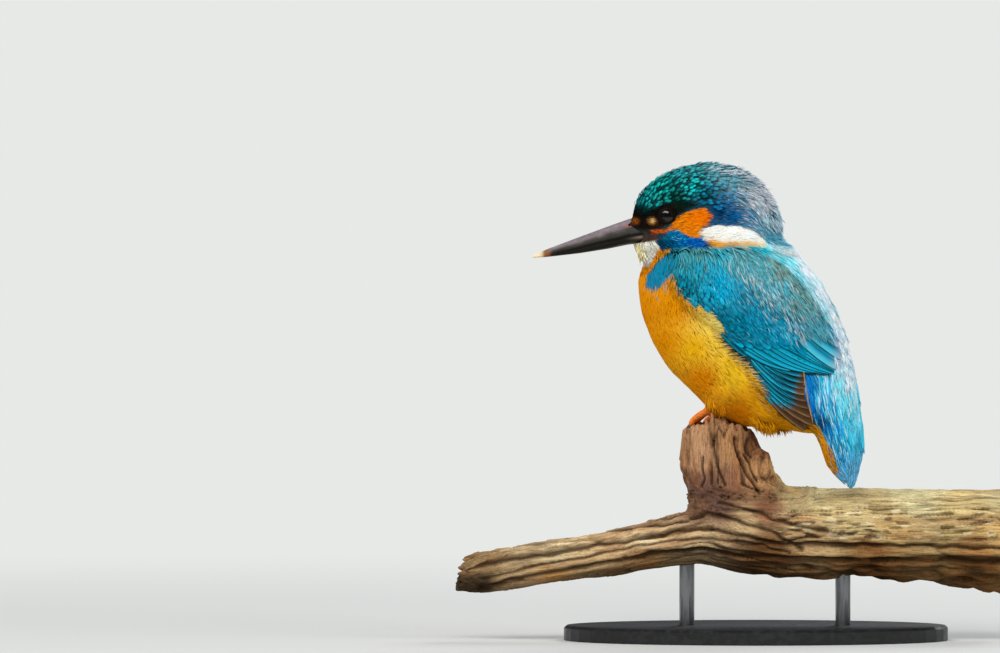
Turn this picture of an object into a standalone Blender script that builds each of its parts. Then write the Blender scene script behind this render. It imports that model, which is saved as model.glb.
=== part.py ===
"""A life-size common kingfisher gripping a short length of dead branch, on a plain display stand.

The bird's own plane of symmetry is the XZ plane and it faces -X. Its head is turned to its left, and the
branch runs under it in the direction of HEAD_TURN. The origin is at the middle of the stand's underside.
Everything is in metres, with +Z up.
"""

import math

import bmesh
import bpy
from mathutils import Matrix, Vector, noise

CLEARANCE = 0.0003

# Bird
HEAD_TURN = math.radians(20)
NECK_X = -0.0053
BODY_TILT = math.radians(30)
BODY_VOXEL = 0.0016
BODY_TRIANGLES = 2350
WING_TRIANGLE_SHARE = 0.6
FLESH_SMOOTHING = 5
BILL_TIP = Vector((-0.0623, 0, 0.1280))
BILL_ROOT = Vector((-0.0215, 0, 0.1357))
BILL_HALF_WIDTH = 0.0050
UPPER_BILL_HEIGHT = 0.0065
LOWER_BILL_HEIGHT = 0.0025
BILL_POINT = 0.0003
EYE_RADIUS = 0.0036
EYE_CENTRE = Vector((-0.0177, -0.0073, 0.1413))
WING_THICKNESS = 0.0023
WING_TIP_THICKNESS = 0.0012
WING_EDGE_SHARE = 0.4
RUMP_HALF_WIDTH = 0.0082
TAIL_CUT = Vector((0.0366, 0, 0.0705))
TAIL_TILT = math.radians(17)
LEG_Y = 0.0055
THIGH = Vector((0.0062, 0, 0.0068))
ANKLES = {-1: Vector((-0.0079, -LEG_Y, 0.0762)), 1: Vector((-0.0066, LEG_Y, 0.0752))}
TARSUS_RADIUS = 0.0012
TOE_RADIUS = 0.0009
TOE_LENGTHS = {"inner": 0.0052, "middle": 0.0059, "outer": 0.0056, "hind": 0.0038}
TOE_ANGLES = {"inner": -22, "middle": -2, "outer": 15, "hind": 178}
TOE_DROPS = {-1: 0.0043, 1: 0.0030}
HIND_DROP = 0.0016
LEG_VOXEL = 0.0003
LEG_TRIANGLES = 330
CLAW_LENGTH = 0.0022

# Branch, in its own frame: x along it, y across it
LEDGE_Z = 0.0704
BRANCH_VOXEL = 0.0008
BRANCH_TRIANGLES = 1750
BRANCH_CUT_X = 0.0925
GROOVE_DEPTH = 0.0007

# Stand
BASE_HALF_LENGTH = 0.064
BASE_HALF_DEPTH = 0.040
BASE_HEIGHT = 0.005
BASE_CENTRE_X = 0.007
ROD_RADIUS = 0.0025
ROD_X = {"front": -0.016, "back": 0.036}
ROD_TOP = {"front": 0.0340, "back": 0.0300}
ROD_SOCKET = 0.003

# Each station is a ring: centre x, centre z, half depth, half width
TRUNK_STATIONS = (
    (-0.0150, 0.1372, 0.0172, 0.0116),
    (-0.0136, 0.1305, 0.0228, 0.0143),
    (-0.0090, 0.1215, 0.0264, 0.0166),
    (-0.0027, 0.1132, 0.0290, 0.0182),
    (0.0033, 0.1048, 0.0294, 0.0187),
    (0.0098, 0.0964, 0.0274, 0.0183),
    (0.0158, 0.0878, 0.0254, 0.0170),
    (0.0232, 0.0803, 0.0202, 0.0148),
    (0.0300, 0.0757, 0.0140, 0.0124),
    (0.0355, 0.0710, 0.0084, 0.0108),
    (0.0374, 0.0650, 0.0063, 0.0097),
)
HEAD_STATIONS = (
    (-0.0292, 0.1360, 0.0037, 0.0040),
    (-0.0283, 0.1376, 0.0064, 0.0048),
    (-0.0268, 0.1376, 0.0102, 0.0056),
    (-0.0250, 0.1386, 0.0115, 0.0066),
    (-0.0200, 0.1408, 0.0136, 0.0092),
    (-0.0117, 0.1431, 0.0145, 0.0118),
    (-0.0033, 0.1438, 0.0152, 0.0130),
    (0.0050, 0.1433, 0.0140, 0.0128),
    (0.0117, 0.1422, 0.0115, 0.0112),
    (0.0167, 0.1397, 0.0077, 0.0084),
    (0.0197, 0.1372, 0.0038, 0.0042),
)
TAIL_STATIONS = (
    (0.0355, 0.0712, 0.0084, 0.0108),
    (0.0373, 0.0655, 0.0066, 0.0098),
    (0.0382, 0.0607, 0.0053, 0.0090),
    (0.0399, 0.0560, 0.0029, 0.0070),
    (0.0415, 0.0527, 0.0011, 0.0040),
    (0.0421, 0.0514, 0.0005, 0.0018),
)
BRANCH_STATIONS = (
    (-0.0917, 0.0217, 0.0050, 0.0055),
    (-0.0850, 0.0225, 0.0065, 0.0072),
    (-0.0650, 0.0255, 0.0075, 0.0080),
    (-0.0450, 0.0283, 0.0074, 0.0085),
    (-0.0283, 0.0313, 0.0080, 0.0095),
    (-0.0117, 0.0347, 0.0092, 0.0110),
    (0.0017, 0.0355, 0.0128, 0.0128),
    (0.0183, 0.0357, 0.0155, 0.0142),
    (0.0383, 0.0357, 0.0151, 0.0145),
    (0.0617, 0.0348, 0.0156, 0.0150),
    (BRANCH_CUT_X, 0.0325, 0.0175, 0.0155),
)
# Centre x, z, half length along the branch, half depth
STUMP_STATIONS = (
    (0.0033, 0.0380, 0.0190, 0.0120),
    (0.0030, 0.0467, 0.0182, 0.0125),
    (-0.0003, 0.0527, 0.0165, 0.0125),
    (-0.0030, 0.0573, 0.0158, 0.0122),
    (-0.0045, 0.0633, 0.0138, 0.0116),
    (-0.0058, LEDGE_Z, 0.0116, 0.0108),
)
# Splinters that stand on the stump: x, y, half width, half depth, top
SPLINTERS = (
    (-0.0079, -0.0078, 0.0013, 0.0016, 0.0745),
    (-0.0050, -0.0080, 0.0013, 0.0018, 0.0716),
    (-0.0023, -0.0076, 0.0017, 0.0020, 0.0731),
    (0.0006, -0.0080, 0.0013, 0.0018, 0.0719),
    (0.0032, -0.0072, 0.0016, 0.0024, 0.0712),
    (-0.0030, 0.0010, 0.0050, 0.0060, 0.0722),
)
KNOB = (Vector((0.0085, -0.0068, 0.0575)), Vector((0.0058, 0.0052, 0.0062)))
# Side outline of the folded left wing, as x and z, from the shoulder down the leading edge and back up
WING_OUTLINE = (
    (-0.0174, 0.1262),
    (-0.0166, 0.1180),
    (-0.0098, 0.1107),
    (0.0000, 0.1040),
    (0.0080, 0.0962),
    (0.0122, 0.0873),
    (0.0200, 0.0780),
    (0.0280, 0.0700),
    (0.0306, 0.0715),
    (0.0302, 0.0800),
    (0.0296, 0.0862),
    (0.0360, 0.0870),
    (0.0402, 0.0905),
    (0.0396, 0.0975),
    (0.0362, 0.1060),
    (0.0305, 0.1150),
    (0.0227, 0.1233),
    (0.0144, 0.1290),
    (0.0020, 0.1315),
    (-0.0100, 0.1310),
)

COLOURS = {
    "crown_blue": ((0.02, 0.30, 0.38, 1), 0.5, 0.0),
    "neck_white": ((0.85, 0.80, 0.70, 1), 0.7, 0.0),
    "breast_orange": ((0.85, 0.38, 0.02, 1), 0.7, 0.0),
    "wing_teal": ((0.01, 0.33, 0.48, 1), 0.45, 0.0),
    "tail_blue": ((0.03, 0.28, 0.62, 1), 0.45, 0.0),
    "bill_black": ((0.03, 0.025, 0.025, 1), 0.35, 0.0),
    "eye_black": ((0.01, 0.008, 0.006, 1), 0.05, 0.0),
    "leg_orange": ((0.80, 0.20, 0.04, 1), 0.5, 0.0),
    "claw_dark": ((0.10, 0.06, 0.05, 1), 0.4, 0.0),
    "weathered_wood": ((0.45, 0.33, 0.20, 1), 0.85, 0.0),
    "stand_black": ((0.03, 0.03, 0.03, 1), 0.5, 0.0),
    "rod_steel": ((0.55, 0.55, 0.55, 1), 0.35, 1.0),
}


def clear_scene():
    for old in list(bpy.data.objects):
        bpy.data.objects.remove(old)


def new_collection(name):
    made = bpy.data.collections.new(name)
    bpy.context.scene.collection.children.link(made)
    return made


def material(name):
    found = bpy.data.materials.get(name)
    if found:
        return found
    colour, roughness, metallic = COLOURS[name]
    found = bpy.data.materials.new(name)
    found.use_nodes = True
    shader = found.node_tree.nodes["Principled BSDF"]
    shader.inputs["Base Color"].default_value = colour
    shader.inputs["Roughness"].default_value = roughness
    shader.inputs["Metallic"].default_value = metallic
    return found


def add_object(bm, name, collection, finish=None):
    """The bmesh as a new object, smooth but for its sharp edges."""
    mesh = bpy.data.meshes.new(name)
    bmesh.ops.recalc_face_normals(bm, faces=bm.faces)
    bm.to_mesh(mesh)
    bm.free()
    made = bpy.data.objects.new(name, mesh)
    collection.objects.link(made)
    if finish:
        mesh.materials.append(material(finish))
    mesh.shade_smooth()
    mesh.set_sharp_from_angle(angle=math.radians(40))
    return made


def baked(source, name, collection, finish=None):
    """A new object that holds the source's evaluated mesh. The source is removed."""
    bpy.context.view_layer.update()
    graph = bpy.context.evaluated_depsgraph_get()
    mesh = bpy.data.meshes.new_from_object(source.evaluated_get(graph))
    mesh.transform(source.matrix_world)
    mesh.name = name
    made = bpy.data.objects.new(name, mesh)
    bpy.data.objects.remove(source)
    collection.objects.link(made)
    mesh.materials.clear()
    if finish:
        mesh.materials.append(material(finish))
    return made


def hide(tool):
    tool.hide_render = True
    tool.display_type = "WIRE"
    return tool


def boolean(target, operation, tool):
    step = target.modifiers.new(operation.lower(), "BOOLEAN")
    step.operation = operation
    step.solver = "EXACT"
    step.object = hide(tool)


def fewer_triangles(target, wanted):
    step = target.modifiers.new("fewer", "DECIMATE")
    step.ratio = wanted / (2 * len(target.data.polygons))


def ring(bm, matrix, depth, width, sides=28, capped=False):
    """An elliptical loop of edges in the matrix's XY plane."""
    scale = Matrix.Diagonal((depth, width, 1, 1))
    made = bmesh.ops.create_circle(
        bm, cap_ends=capped, segments=sides, radius=1, matrix=matrix @ scale
    )
    return made["verts"]


def edges_of(verts):
    return list({edge for vert in verts for edge in vert.link_edges})


def loft(bm, rings):
    """Bridges each ring to the next. The first and the last are capped."""
    loops = []
    for number, (matrix, depth, width, sides) in enumerate(rings):
        capped = number in (0, len(rings) - 1)
        verts = ring(bm, matrix, depth, width, sides, capped)
        loops.append(edges_of(verts))
    for first, second in zip(loops, loops[1:]):
        bmesh.ops.bridge_loops(bm, edges=first + second)


def tilted_rings(stations, tilts, sides=28):
    """Rings across the XZ plane, each turned about Y by its own tilt."""
    return [
        (Matrix.Translation((x, 0, z)) @ Matrix.Rotation(tilt, 4, "Y"), depth, width, sides)
        for (x, z, depth, width), tilt in zip(stations, tilts)
    ]


def tube_rings(points, radii, sides=10):
    """Rings square to a path, for a tapered tube."""
    rings = []
    for number, point in enumerate(points):
        before = points[max(number - 1, 0)]
        after = points[min(number + 1, len(points) - 1)]
        turn = (after - before).to_track_quat("Z", "Y").to_matrix().to_4x4()
        rings.append((Matrix.Translation(point) @ turn, radii[number], radii[number], sides))
    return rings


def head_frame():
    """Carries the head's own frame to its turned place on the neck."""
    return Matrix.Translation((NECK_X, 0, 0)) @ Matrix.Rotation(HEAD_TURN, 4, "Z")


def flesh_whole(tools):
    """Head, neck and trunk as one smooth closed skin."""
    bm = bmesh.new()
    across = math.pi / 2
    loft(bm, tilted_rings(HEAD_STATIONS, [across] * len(HEAD_STATIONS)))
    bmesh.ops.transform(bm, matrix=head_frame(), verts=bm.verts)
    tilts = [-BODY_TILT] * (len(TRUNK_STATIONS) - 1) + [-TAIL_TILT]
    loft(bm, tilted_rings(TRUNK_STATIONS, tilts))
    rough = add_object(bm, "flesh_rough", tools)
    remesh = rough.modifiers.new("voxels", "REMESH")
    remesh.mode = "VOXEL"
    remesh.voxel_size = BODY_VOXEL
    smooth = rough.modifiers.new("smooth", "SMOOTH")
    smooth.iterations = FLESH_SMOOTHING
    whole = baked(rough, "flesh_whole", tools)
    fewer_triangles(whole, BODY_TRIANGLES)
    return hide(baked(whole, "flesh", tools))


def cut_away(bm, point, normal):
    """Removes what lies on the normal's side of a plane, and closes the cut."""
    everything = bm.verts[:] + bm.edges[:] + bm.faces[:]
    made = bmesh.ops.bisect_plane(
        bm, geom=everything, plane_co=point, plane_no=normal, clear_outer=True
    )
    rim = [item for item in made["geom_cut"] if isinstance(item, bmesh.types.BMEdge)]
    bmesh.ops.triangle_fill(bm, edges=rim, use_beauty=True, use_dissolve=False)


def slice_of(whole, name, collection, finish, planes):
    bm = bmesh.new()
    bm.from_mesh(whole.data)
    for point, normal in planes:
        cut_away(bm, point, normal)
    return add_object(bm, name, collection, finish)


def body_planes():
    """The two cuts of the neck and the cut before the tail, as a point and a normal away from the head."""
    head_cut = Vector((-0.004, 0, 0.1303))
    head_normal = Vector((0.10, 0, -1)).normalized()
    neck_cut = Vector((-0.004, 0, 0.1215))
    neck_normal = Vector((0.20, 0, -1)).normalized()
    tail_normal = Vector((math.sin(TAIL_TILT), 0, -math.cos(TAIL_TILT)))
    return (head_cut, head_normal), (neck_cut, neck_normal), (TAIL_CUT, tail_normal)


def flesh_parts(whole, bird):
    (head_cut, head_normal), (neck_cut, neck_normal), (tail_cut, tail_normal) = body_planes()
    gap = CLEARANCE / 2
    head = slice_of(
        whole, "head", bird, "crown_blue", [(head_cut - head_normal * gap, head_normal)]
    )
    slice_of(
        whole,
        "neck",
        bird,
        "neck_white",
        [(head_cut + head_normal * gap, -head_normal), (neck_cut - neck_normal * gap, neck_normal)],
    )
    trunk = slice_of(
        whole,
        "trunk",
        bird,
        "breast_orange",
        [(neck_cut + neck_normal * gap, -neck_normal), (tail_cut - tail_normal * gap, tail_normal)],
    )
    return head, trunk


def tail(bird):
    """The closed tail, flat and round-ended, from its cut down to the tip."""
    bm = bmesh.new()
    stations = [(x, z, depth, width) for x, z, depth, width in TAIL_STATIONS]
    loft(bm, tilted_rings(stations, [-TAIL_TILT] * len(stations), sides=20))
    _, _, (tail_cut, tail_normal) = body_planes()
    cut_away(bm, tail_cut + tail_normal * CLEARANCE / 2, -tail_normal)
    return add_object(bm, "tail", bird, "tail_blue")


def bill_half(name, collection, finish, upper, grow=0.0):
    """Half of the bill: a tapered half cone whose flat side is the line of the gape."""
    height = (UPPER_BILL_HEIGHT if upper else LOWER_BILL_HEIGHT) + grow
    width = BILL_HALF_WIDTH + grow
    along = BILL_TIP - BILL_ROOT
    turn = along.to_track_quat("Z", "Y").to_matrix().to_4x4()
    bm = bmesh.new()
    rings = []
    steps = 9
    for step in range(steps):
        share = step / (steps - 1)
        taper = 1 - share if upper else 1 - share**2.6
        point = BILL_POINT * share
        half_width = width * (1 - share) ** 0.9 + point
        place = Matrix.Translation(BILL_ROOT + along * share)
        rings.append((place @ turn, half_width, height * taper + point, 16))
    loft(bm, rings)
    gape = Vector((along.z, 0, -along.x)).normalized()
    side = 1 if upper else -1
    gap = (CLEARANCE / 2 - grow) * side
    cut_away(bm, BILL_ROOT + gape * gap, -gape * side)
    bmesh.ops.transform(bm, matrix=head_frame(), verts=bm.verts)
    return add_object(bm, name, collection, finish)


def eye(name, collection, finish, side, grow=0.0):
    """One eyeball. Side is -1 for the left and 1 for the right."""
    bm = bmesh.new()
    centre = Vector((EYE_CENTRE.x, -EYE_CENTRE.y * side, EYE_CENTRE.z))
    place = head_frame() @ Matrix.Translation(centre) @ Matrix.Rotation(math.pi / 2, 4, "X")
    bmesh.ops.create_uvsphere(
        bm, u_segments=14, v_segments=8, radius=EYE_RADIUS + grow, matrix=place
    )
    return add_object(bm, name, collection, finish)


def face(head, bird, tools):
    """Bill and eyes, each in a socket of the head."""
    for name, side in (("eye_left", -1), ("eye_right", 1)):
        eye(name, bird, "eye_black", side)
        boolean(head, "DIFFERENCE", eye(name + "_socket", tools, None, side, CLEARANCE))
    for name, upper in (("bill_upper", True), ("bill_lower", False)):
        bill_half(name, bird, "bill_black", upper)
        boolean(head, "DIFFERENCE", bill_half(name + "_socket", tools, None, upper, CLEARANCE))


def swollen(whole, name, collection, by):
    """A copy of the flesh whose skin is moved outwards by a thickness that may change from place to place."""
    copy = bpy.data.objects.new(name, whole.data.copy())
    collection.objects.link(copy)
    normals = [vert.normal.copy() for vert in copy.data.vertices]
    for vert, normal in zip(copy.data.vertices, normals):
        vert.co += normal * by(vert.co)
    return hide(copy)


def eased(value, low, high):
    """0 below low, 1 above high, and smooth between."""
    share = min(max((value - low) / (high - low), 0), 1)
    return share * share * (3 - 2 * share)


def wing_thickness(place):
    """Thinner towards the wing's tip, and towards the edge along the rump."""
    down = eased(place.z, 0.072, 0.105)
    inwards = eased(abs(place.y), RUMP_HALF_WIDTH, 0.0145)
    full = WING_TIP_THICKNESS + (WING_THICKNESS - WING_TIP_THICKNESS) * down
    return full * (WING_EDGE_SHARE + (1 - WING_EDGE_SHARE) * inwards) + 2 * CLEARANCE


def wing_prism(name, collection, side):
    """The wing's side outline as a thick plate, from the rump's edge outwards."""
    outer = 0.035
    curve = bpy.data.curves.new(name, "CURVE")
    curve.dimensions = "2D"
    curve.fill_mode = "BOTH"
    curve.extrude = (outer - RUMP_HALF_WIDTH) / 2
    curve.resolution_u = 3
    spline = curve.splines.new("BEZIER")
    spline.bezier_points.add(len(WING_OUTLINE) - 1)
    for point, (x, z) in zip(spline.bezier_points, WING_OUTLINE):
        point.co = (x, z, 0)
        point.handle_left_type = point.handle_right_type = "AUTO"
    spline.use_cyclic_u = True
    plate = bpy.data.objects.new(name + "_curve", curve)
    collection.objects.link(plate)
    plate.location.y = side * (outer + RUMP_HALF_WIDTH) / 2
    plate.rotation_euler.x = math.pi / 2
    made = baked(plate, name, collection)
    bm = bmesh.new()
    bm.from_mesh(made.data)
    bmesh.ops.remove_doubles(bm, verts=bm.verts, dist=1e-6)
    bmesh.ops.recalc_face_normals(bm, faces=bm.faces)
    bm.to_mesh(made.data)
    bm.free()
    return made


def wings(whole, bird, tools):
    """Each wing is the shell between two swollen copies of the flesh, inside the wing's outline."""
    coarse = swollen(whole, "wing_form", tools, lambda place: 0)
    fewer = coarse.modifiers.new("fewer", "DECIMATE")
    fewer.ratio = WING_TRIANGLE_SHARE
    coarse = baked(coarse, "wing_base", tools)
    for name, side in (("wing_left", -1), ("wing_right", 1)):
        outer = swollen(coarse, name + "_outer", tools, wing_thickness)
        inner = swollen(coarse, name + "_inner", tools, lambda place: 2 * CLEARANCE)
        outer.hide_render = False
        boolean(outer, "INTERSECT", wing_prism(name + "_prism", tools, side))
        boolean(outer, "DIFFERENCE", inner)
        baked(outer, name, bird, "wing_teal")


def toe_path(ankle, name, side):
    """From the ankle down along one toe to the wood. Its last joint is the steepest."""
    length, angle = TOE_LENGTHS[name], math.radians(TOE_ANGLES[name])
    way = Vector((-math.cos(angle), -math.sin(angle), 0))
    shape = ((0.0, 0.0), (0.37, 0.25), (0.66, 0.50), (0.86, 0.73), (1.0, 1.0))
    drop = HIND_DROP if name == "hind" else TOE_DROPS[side]
    return [ankle + way * length * share - Vector((0, 0, fall * drop)) for share, fall in shape]


def claw_path(toe):
    """A claw's hook, which carries on from the toe's tip and bends down."""
    way = (toe[-1] - toe[-2]).normalized()
    start = toe[-1] + way * (CLEARANCE + 0.0001)
    down = Vector((0, 0, -1))
    hook = ((0.0, 0.0), (0.28, 0.05), (0.45, 0.25), (0.47, 0.60))
    return [start + (way * ahead + down * fall) * CLAW_LENGTH for ahead, fall in hook]


def tube(name, collection, finish, points, radii, sides=10):
    bm = bmesh.new()
    loft(bm, tube_rings(points, radii, sides))
    return add_object(bm, name, collection, finish)


def leg(name, collection, finish, side, grow=0.0):
    """Tarsus and toes in one skin. The claws are separate."""
    ankle = ANKLES[side]
    thigh = ankle + THIGH
    middle = thigh.lerp(ankle, 0.5) + Vector((0.0005, 0, -0.0004))
    thigh += (thigh - ankle).normalized() * grow * 2
    bm = bmesh.new()
    radii = [TARSUS_RADIUS * size + grow for size in (1.25, 0.95, 1.15)]
    loft(bm, tube_rings([thigh, middle, ankle], radii))
    for toe in TOE_LENGTHS:
        radii = [TOE_RADIUS * size + grow for size in (1.1, 1.0, 0.95, 0.85, 0.7)]
        loft(bm, tube_rings(toe_path(ankle, toe, side), radii))
    rough = add_object(bm, name + "_tubes", collection)
    remesh = rough.modifiers.new("voxels", "REMESH")
    remesh.mode = "VOXEL"
    remesh.voxel_size = LEG_VOXEL
    smooth = rough.modifiers.new("smooth", "SMOOTH")
    smooth.iterations = 2
    fine = baked(rough, name + "_fine", collection)
    fewer_triangles(fine, LEG_TRIANGLES)
    return baked(fine, name, collection, finish)


def claws(name, collection, finish, side, grow=0.0):
    """The claws of one foot. Where they are grown they also reach back into their toes."""
    made = []
    for toe in TOE_LENGTHS:
        path = toe_path(ANKLES[side], toe, side)
        hook = claw_path(path)
        radii = [TOE_RADIUS * size + grow for size in (0.62, 0.55, 0.4, 0.2)]
        if grow:
            hook.insert(0, path[-2])
            radii.insert(0, radii[0])
        made.append(tube(f"{name}_{toe}", collection, finish, hook, radii, sides=8))
    return made


def feet(trunk, bird, tools):
    """Legs and claws, with the trunk cut clear of them. Returns the tools that clear the wood."""
    cutters = []
    for name, side in (("left", -1), ("right", 1)):
        leg("leg_" + name, bird, "leg_orange", side)
        claws("claw_" + name, bird, "claw_dark", side)
        room = leg("room_" + name, tools, None, side, 1.3 * CLEARANCE)
        boolean(trunk, "DIFFERENCE", room)
        cutters.append(room)
        cutters.extend(claws("claw_room_" + name, tools, None, side, CLEARANCE))
    for tool in list(tools.objects):
        hide(tool)
    return cutters


def branch_frame():
    return Matrix.Rotation(HEAD_TURN, 4, "Z")


def splinter(bm, x, y, half_width, half_depth, top):
    """A split stave of wood that narrows to a ragged top."""
    foot = 0.055
    place = Matrix.Translation((x, y, (top + foot) / 2))
    size = Matrix.Diagonal((2 * half_width, 2 * half_depth, top - foot, 1))
    made = bmesh.ops.create_cube(bm, size=1, matrix=place @ size)
    for vert in made["verts"]:
        if vert.co.z > place.translation.z:
            vert.co.x = x + (vert.co.x - x) * 0.72
            vert.co.z -= 0.0012 * (vert.co.x > x)


def grooved(mesh):
    """Weathers the wood: long grooves that follow the grain, up the stump and along the arms."""
    normals = [vert.normal.copy() for vert in mesh.vertices]
    for vert, normal in zip(mesh.vertices, normals):
        x, y, z = vert.co
        upright = min(max((z - 0.045) / 0.012, 0), 1)
        along = Vector((x * 25, y * 260, z * 260))
        up = Vector((x * 300, y * 260, z * 30))
        wave = (1 - upright) * noise.noise(along) + upright * noise.noise(up)
        vert.co += normal * wave * GROOVE_DEPTH * 1.6


def branch(flesh, cutters, bird, tools):
    """The dead branch with its broken stump, cut clear of the feet, the belly and the rods."""
    bm = bmesh.new()
    across = math.pi / 2
    loft(bm, tilted_rings(BRANCH_STATIONS, [across] * len(BRANCH_STATIONS), sides=24))
    loft(bm, tilted_rings(STUMP_STATIONS, [0] * len(STUMP_STATIONS), sides=24))
    for sizes in SPLINTERS:
        splinter(bm, *sizes)
    place, size = KNOB
    knob = Matrix.Translation(place) @ Matrix.Diagonal((*size, 1))
    bmesh.ops.create_icosphere(bm, subdivisions=2, radius=1, matrix=knob)
    rough = add_object(bm, "branch_rough", tools)
    remesh = rough.modifiers.new("voxels", "REMESH")
    remesh.mode = "VOXEL"
    remesh.voxel_size = BRANCH_VOXEL
    smooth = rough.modifiers.new("smooth", "SMOOTH")
    smooth.iterations = 1
    whole = baked(rough, "branch_whole", tools)
    grooved(whole.data)
    fewer_triangles(whole, BRANCH_TRIANGLES)
    whole = baked(whole, "branch_plain", tools)
    bm = bmesh.new()
    bm.from_mesh(whole.data)
    sawn_end = Vector((BRANCH_CUT_X - 0.0008, 0, 0))
    cut_away(bm, sawn_end, Vector((1, 0, 0)))
    bmesh.ops.transform(bm, matrix=branch_frame(), verts=bm.verts)
    bpy.data.objects.remove(whole)
    made = add_object(bm, "perch_branch", bird, "weathered_wood")
    boolean(made, "DIFFERENCE", swollen(flesh, "belly_room", tools, lambda place: 2 * CLEARANCE))
    for tool in cutters:
        boolean(made, "DIFFERENCE", tool)
    for name in ROD_X:
        boolean(made, "DIFFERENCE", rod("rod_room_" + name, tools, None, name, CLEARANCE))


def rod(name, collection, finish, place, grow=0.0):
    """A steel rod from its socket in the base up into the wood."""
    bottom, top = BASE_HEIGHT - ROD_SOCKET - grow, ROD_TOP[place] + grow
    centre = branch_frame() @ Vector((ROD_X[place], 0, 0))
    bm = bmesh.new()
    where = Matrix.Translation((centre.x, centre.y, (bottom + top) / 2))
    bmesh.ops.create_cone(
        bm,
        cap_ends=True,
        segments=20,
        radius1=ROD_RADIUS + grow,
        radius2=ROD_RADIUS + grow,
        depth=top - bottom,
        matrix=where,
    )
    return add_object(bm, name, collection, finish)


def base(collection, tools):
    """A flat oval base with an eased upper edge and a socket for each rod."""
    bm = bmesh.new()
    shape = Matrix.Diagonal((BASE_HALF_LENGTH, BASE_HALF_DEPTH, 1, 1))
    place = branch_frame() @ Matrix.Translation((BASE_CENTRE_X, 0, BASE_HEIGHT / 2))
    bmesh.ops.create_cone(
        bm, cap_ends=True, segments=48, radius1=1, radius2=1, depth=BASE_HEIGHT, matrix=place @ shape
    )
    rim = [e for e in bm.edges if all(v.co.z > BASE_HEIGHT * 0.9 for v in e.verts)]
    bmesh.ops.bevel(bm, geom=rim, offset=0.0009, segments=1, profile=0.5, affect="EDGES", material=-1)
    made = add_object(bm, "stand_base", collection, "stand_black")
    for name in ROD_X:
        boolean(made, "DIFFERENCE", rod("base_room_" + name, tools, None, name, CLEARANCE))


def main():
    clear_scene()
    bird = new_collection("kingfisher")
    tools = new_collection("cutters")
    flesh = flesh_whole(tools)
    head, trunk = flesh_parts(flesh, bird)
    face(head, bird, tools)
    tail(bird)
    wings(flesh, bird, tools)
    cutters = feet(trunk, bird, tools)
    branch(flesh, cutters, bird, tools)
    for name in ROD_X:
        rod("stand_rod_" + name, bird, "rod_steel", name)
    base(bird, tools)
    for tool in tools.objects:
        hide(tool)


main()
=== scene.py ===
# %% [markdown]
# # A kingfisher on a weathered branch
# A still, life-size museum model: one small bird, a short cut length of
# branch with a broken stump, and a plain stand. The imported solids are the
# frame, and every piece below is laid over them in metres.

# %% The frame
import math
from functools import partial

import bmesh
import bpy
import numpy as np
from mathutils import Matrix, Vector
from mathutils.bvhtree import BVHTree


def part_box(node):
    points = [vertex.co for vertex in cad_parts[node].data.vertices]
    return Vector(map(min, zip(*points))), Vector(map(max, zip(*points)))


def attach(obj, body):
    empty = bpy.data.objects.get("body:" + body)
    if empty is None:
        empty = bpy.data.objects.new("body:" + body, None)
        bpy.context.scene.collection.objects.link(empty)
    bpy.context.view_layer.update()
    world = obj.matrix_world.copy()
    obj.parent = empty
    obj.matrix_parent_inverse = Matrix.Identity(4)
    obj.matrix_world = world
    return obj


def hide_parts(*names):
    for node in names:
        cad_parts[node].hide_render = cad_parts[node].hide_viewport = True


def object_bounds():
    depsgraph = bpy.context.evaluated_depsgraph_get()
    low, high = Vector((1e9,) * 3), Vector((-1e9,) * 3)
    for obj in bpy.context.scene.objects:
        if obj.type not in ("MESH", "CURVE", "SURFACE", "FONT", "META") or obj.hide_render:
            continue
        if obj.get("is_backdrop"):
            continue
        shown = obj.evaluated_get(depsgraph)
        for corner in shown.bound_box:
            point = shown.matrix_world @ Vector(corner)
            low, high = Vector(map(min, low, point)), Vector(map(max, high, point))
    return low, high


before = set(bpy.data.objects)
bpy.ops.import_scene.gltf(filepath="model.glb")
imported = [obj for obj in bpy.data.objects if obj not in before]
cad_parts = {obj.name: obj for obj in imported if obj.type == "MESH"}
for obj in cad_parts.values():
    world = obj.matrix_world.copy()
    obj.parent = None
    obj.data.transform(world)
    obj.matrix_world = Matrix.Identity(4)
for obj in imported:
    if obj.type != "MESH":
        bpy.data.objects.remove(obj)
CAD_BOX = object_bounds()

MM = .001
scene = bpy.context.scene


def colour(red, green, blue):
    """A paint named by its screen values from 0 to 255, as linear light."""
    mixed = np.array([red, green, blue], float) / 255
    return np.where(mixed < .04045, mixed / 12.92, ((mixed + .055) / 1.055) ** 2.4)


def middle(node):
    """The middle of a CAD node's box."""
    low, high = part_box(node)
    return (low + high) / 2


def eased(share):
    """A share held between 0 and 1, with soft ends."""
    share = np.clip(share, 0, 1)
    return share * share * (3 - 2 * share)


def rising(value, start, width):
    """A soft step from 0 at a start to 1 a width further on."""
    return eased((value - start) / width)


print("solids in the frame:", len(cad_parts))

# %% [markdown]
# ## How the bird stands
# The bird sits along X and faces -X. Its head is turned a little about the
# neck, by the same angle as the view and the branch, so all three share
# one upright plane, the show plane. Markings and the lie of the feathers
# are planned on that plane in millimetres: `across` to the right, and up.

# %% The turn of the head and the show plane
TURN = math.radians(20)
NECK_X = -5.3 * MM
ACROSS = Vector((math.cos(TURN), math.sin(TURN), 0))
TOWARDS = Vector((math.sin(TURN), -math.cos(TURN), 0))
RIGHT, NEAR = np.array(ACROSS), np.array(TOWARDS)


def head_places(places):
    """Places in the head's own straight-ahead frame, about the neck."""
    x, y = places[:, 0] - NECK_X, places[:, 1]
    return np.stack([math.cos(TURN) * x + math.sin(TURN) * y,
                     -math.sin(TURN) * x + math.cos(TURN) * y, places[:, 2]], 1)


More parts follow.
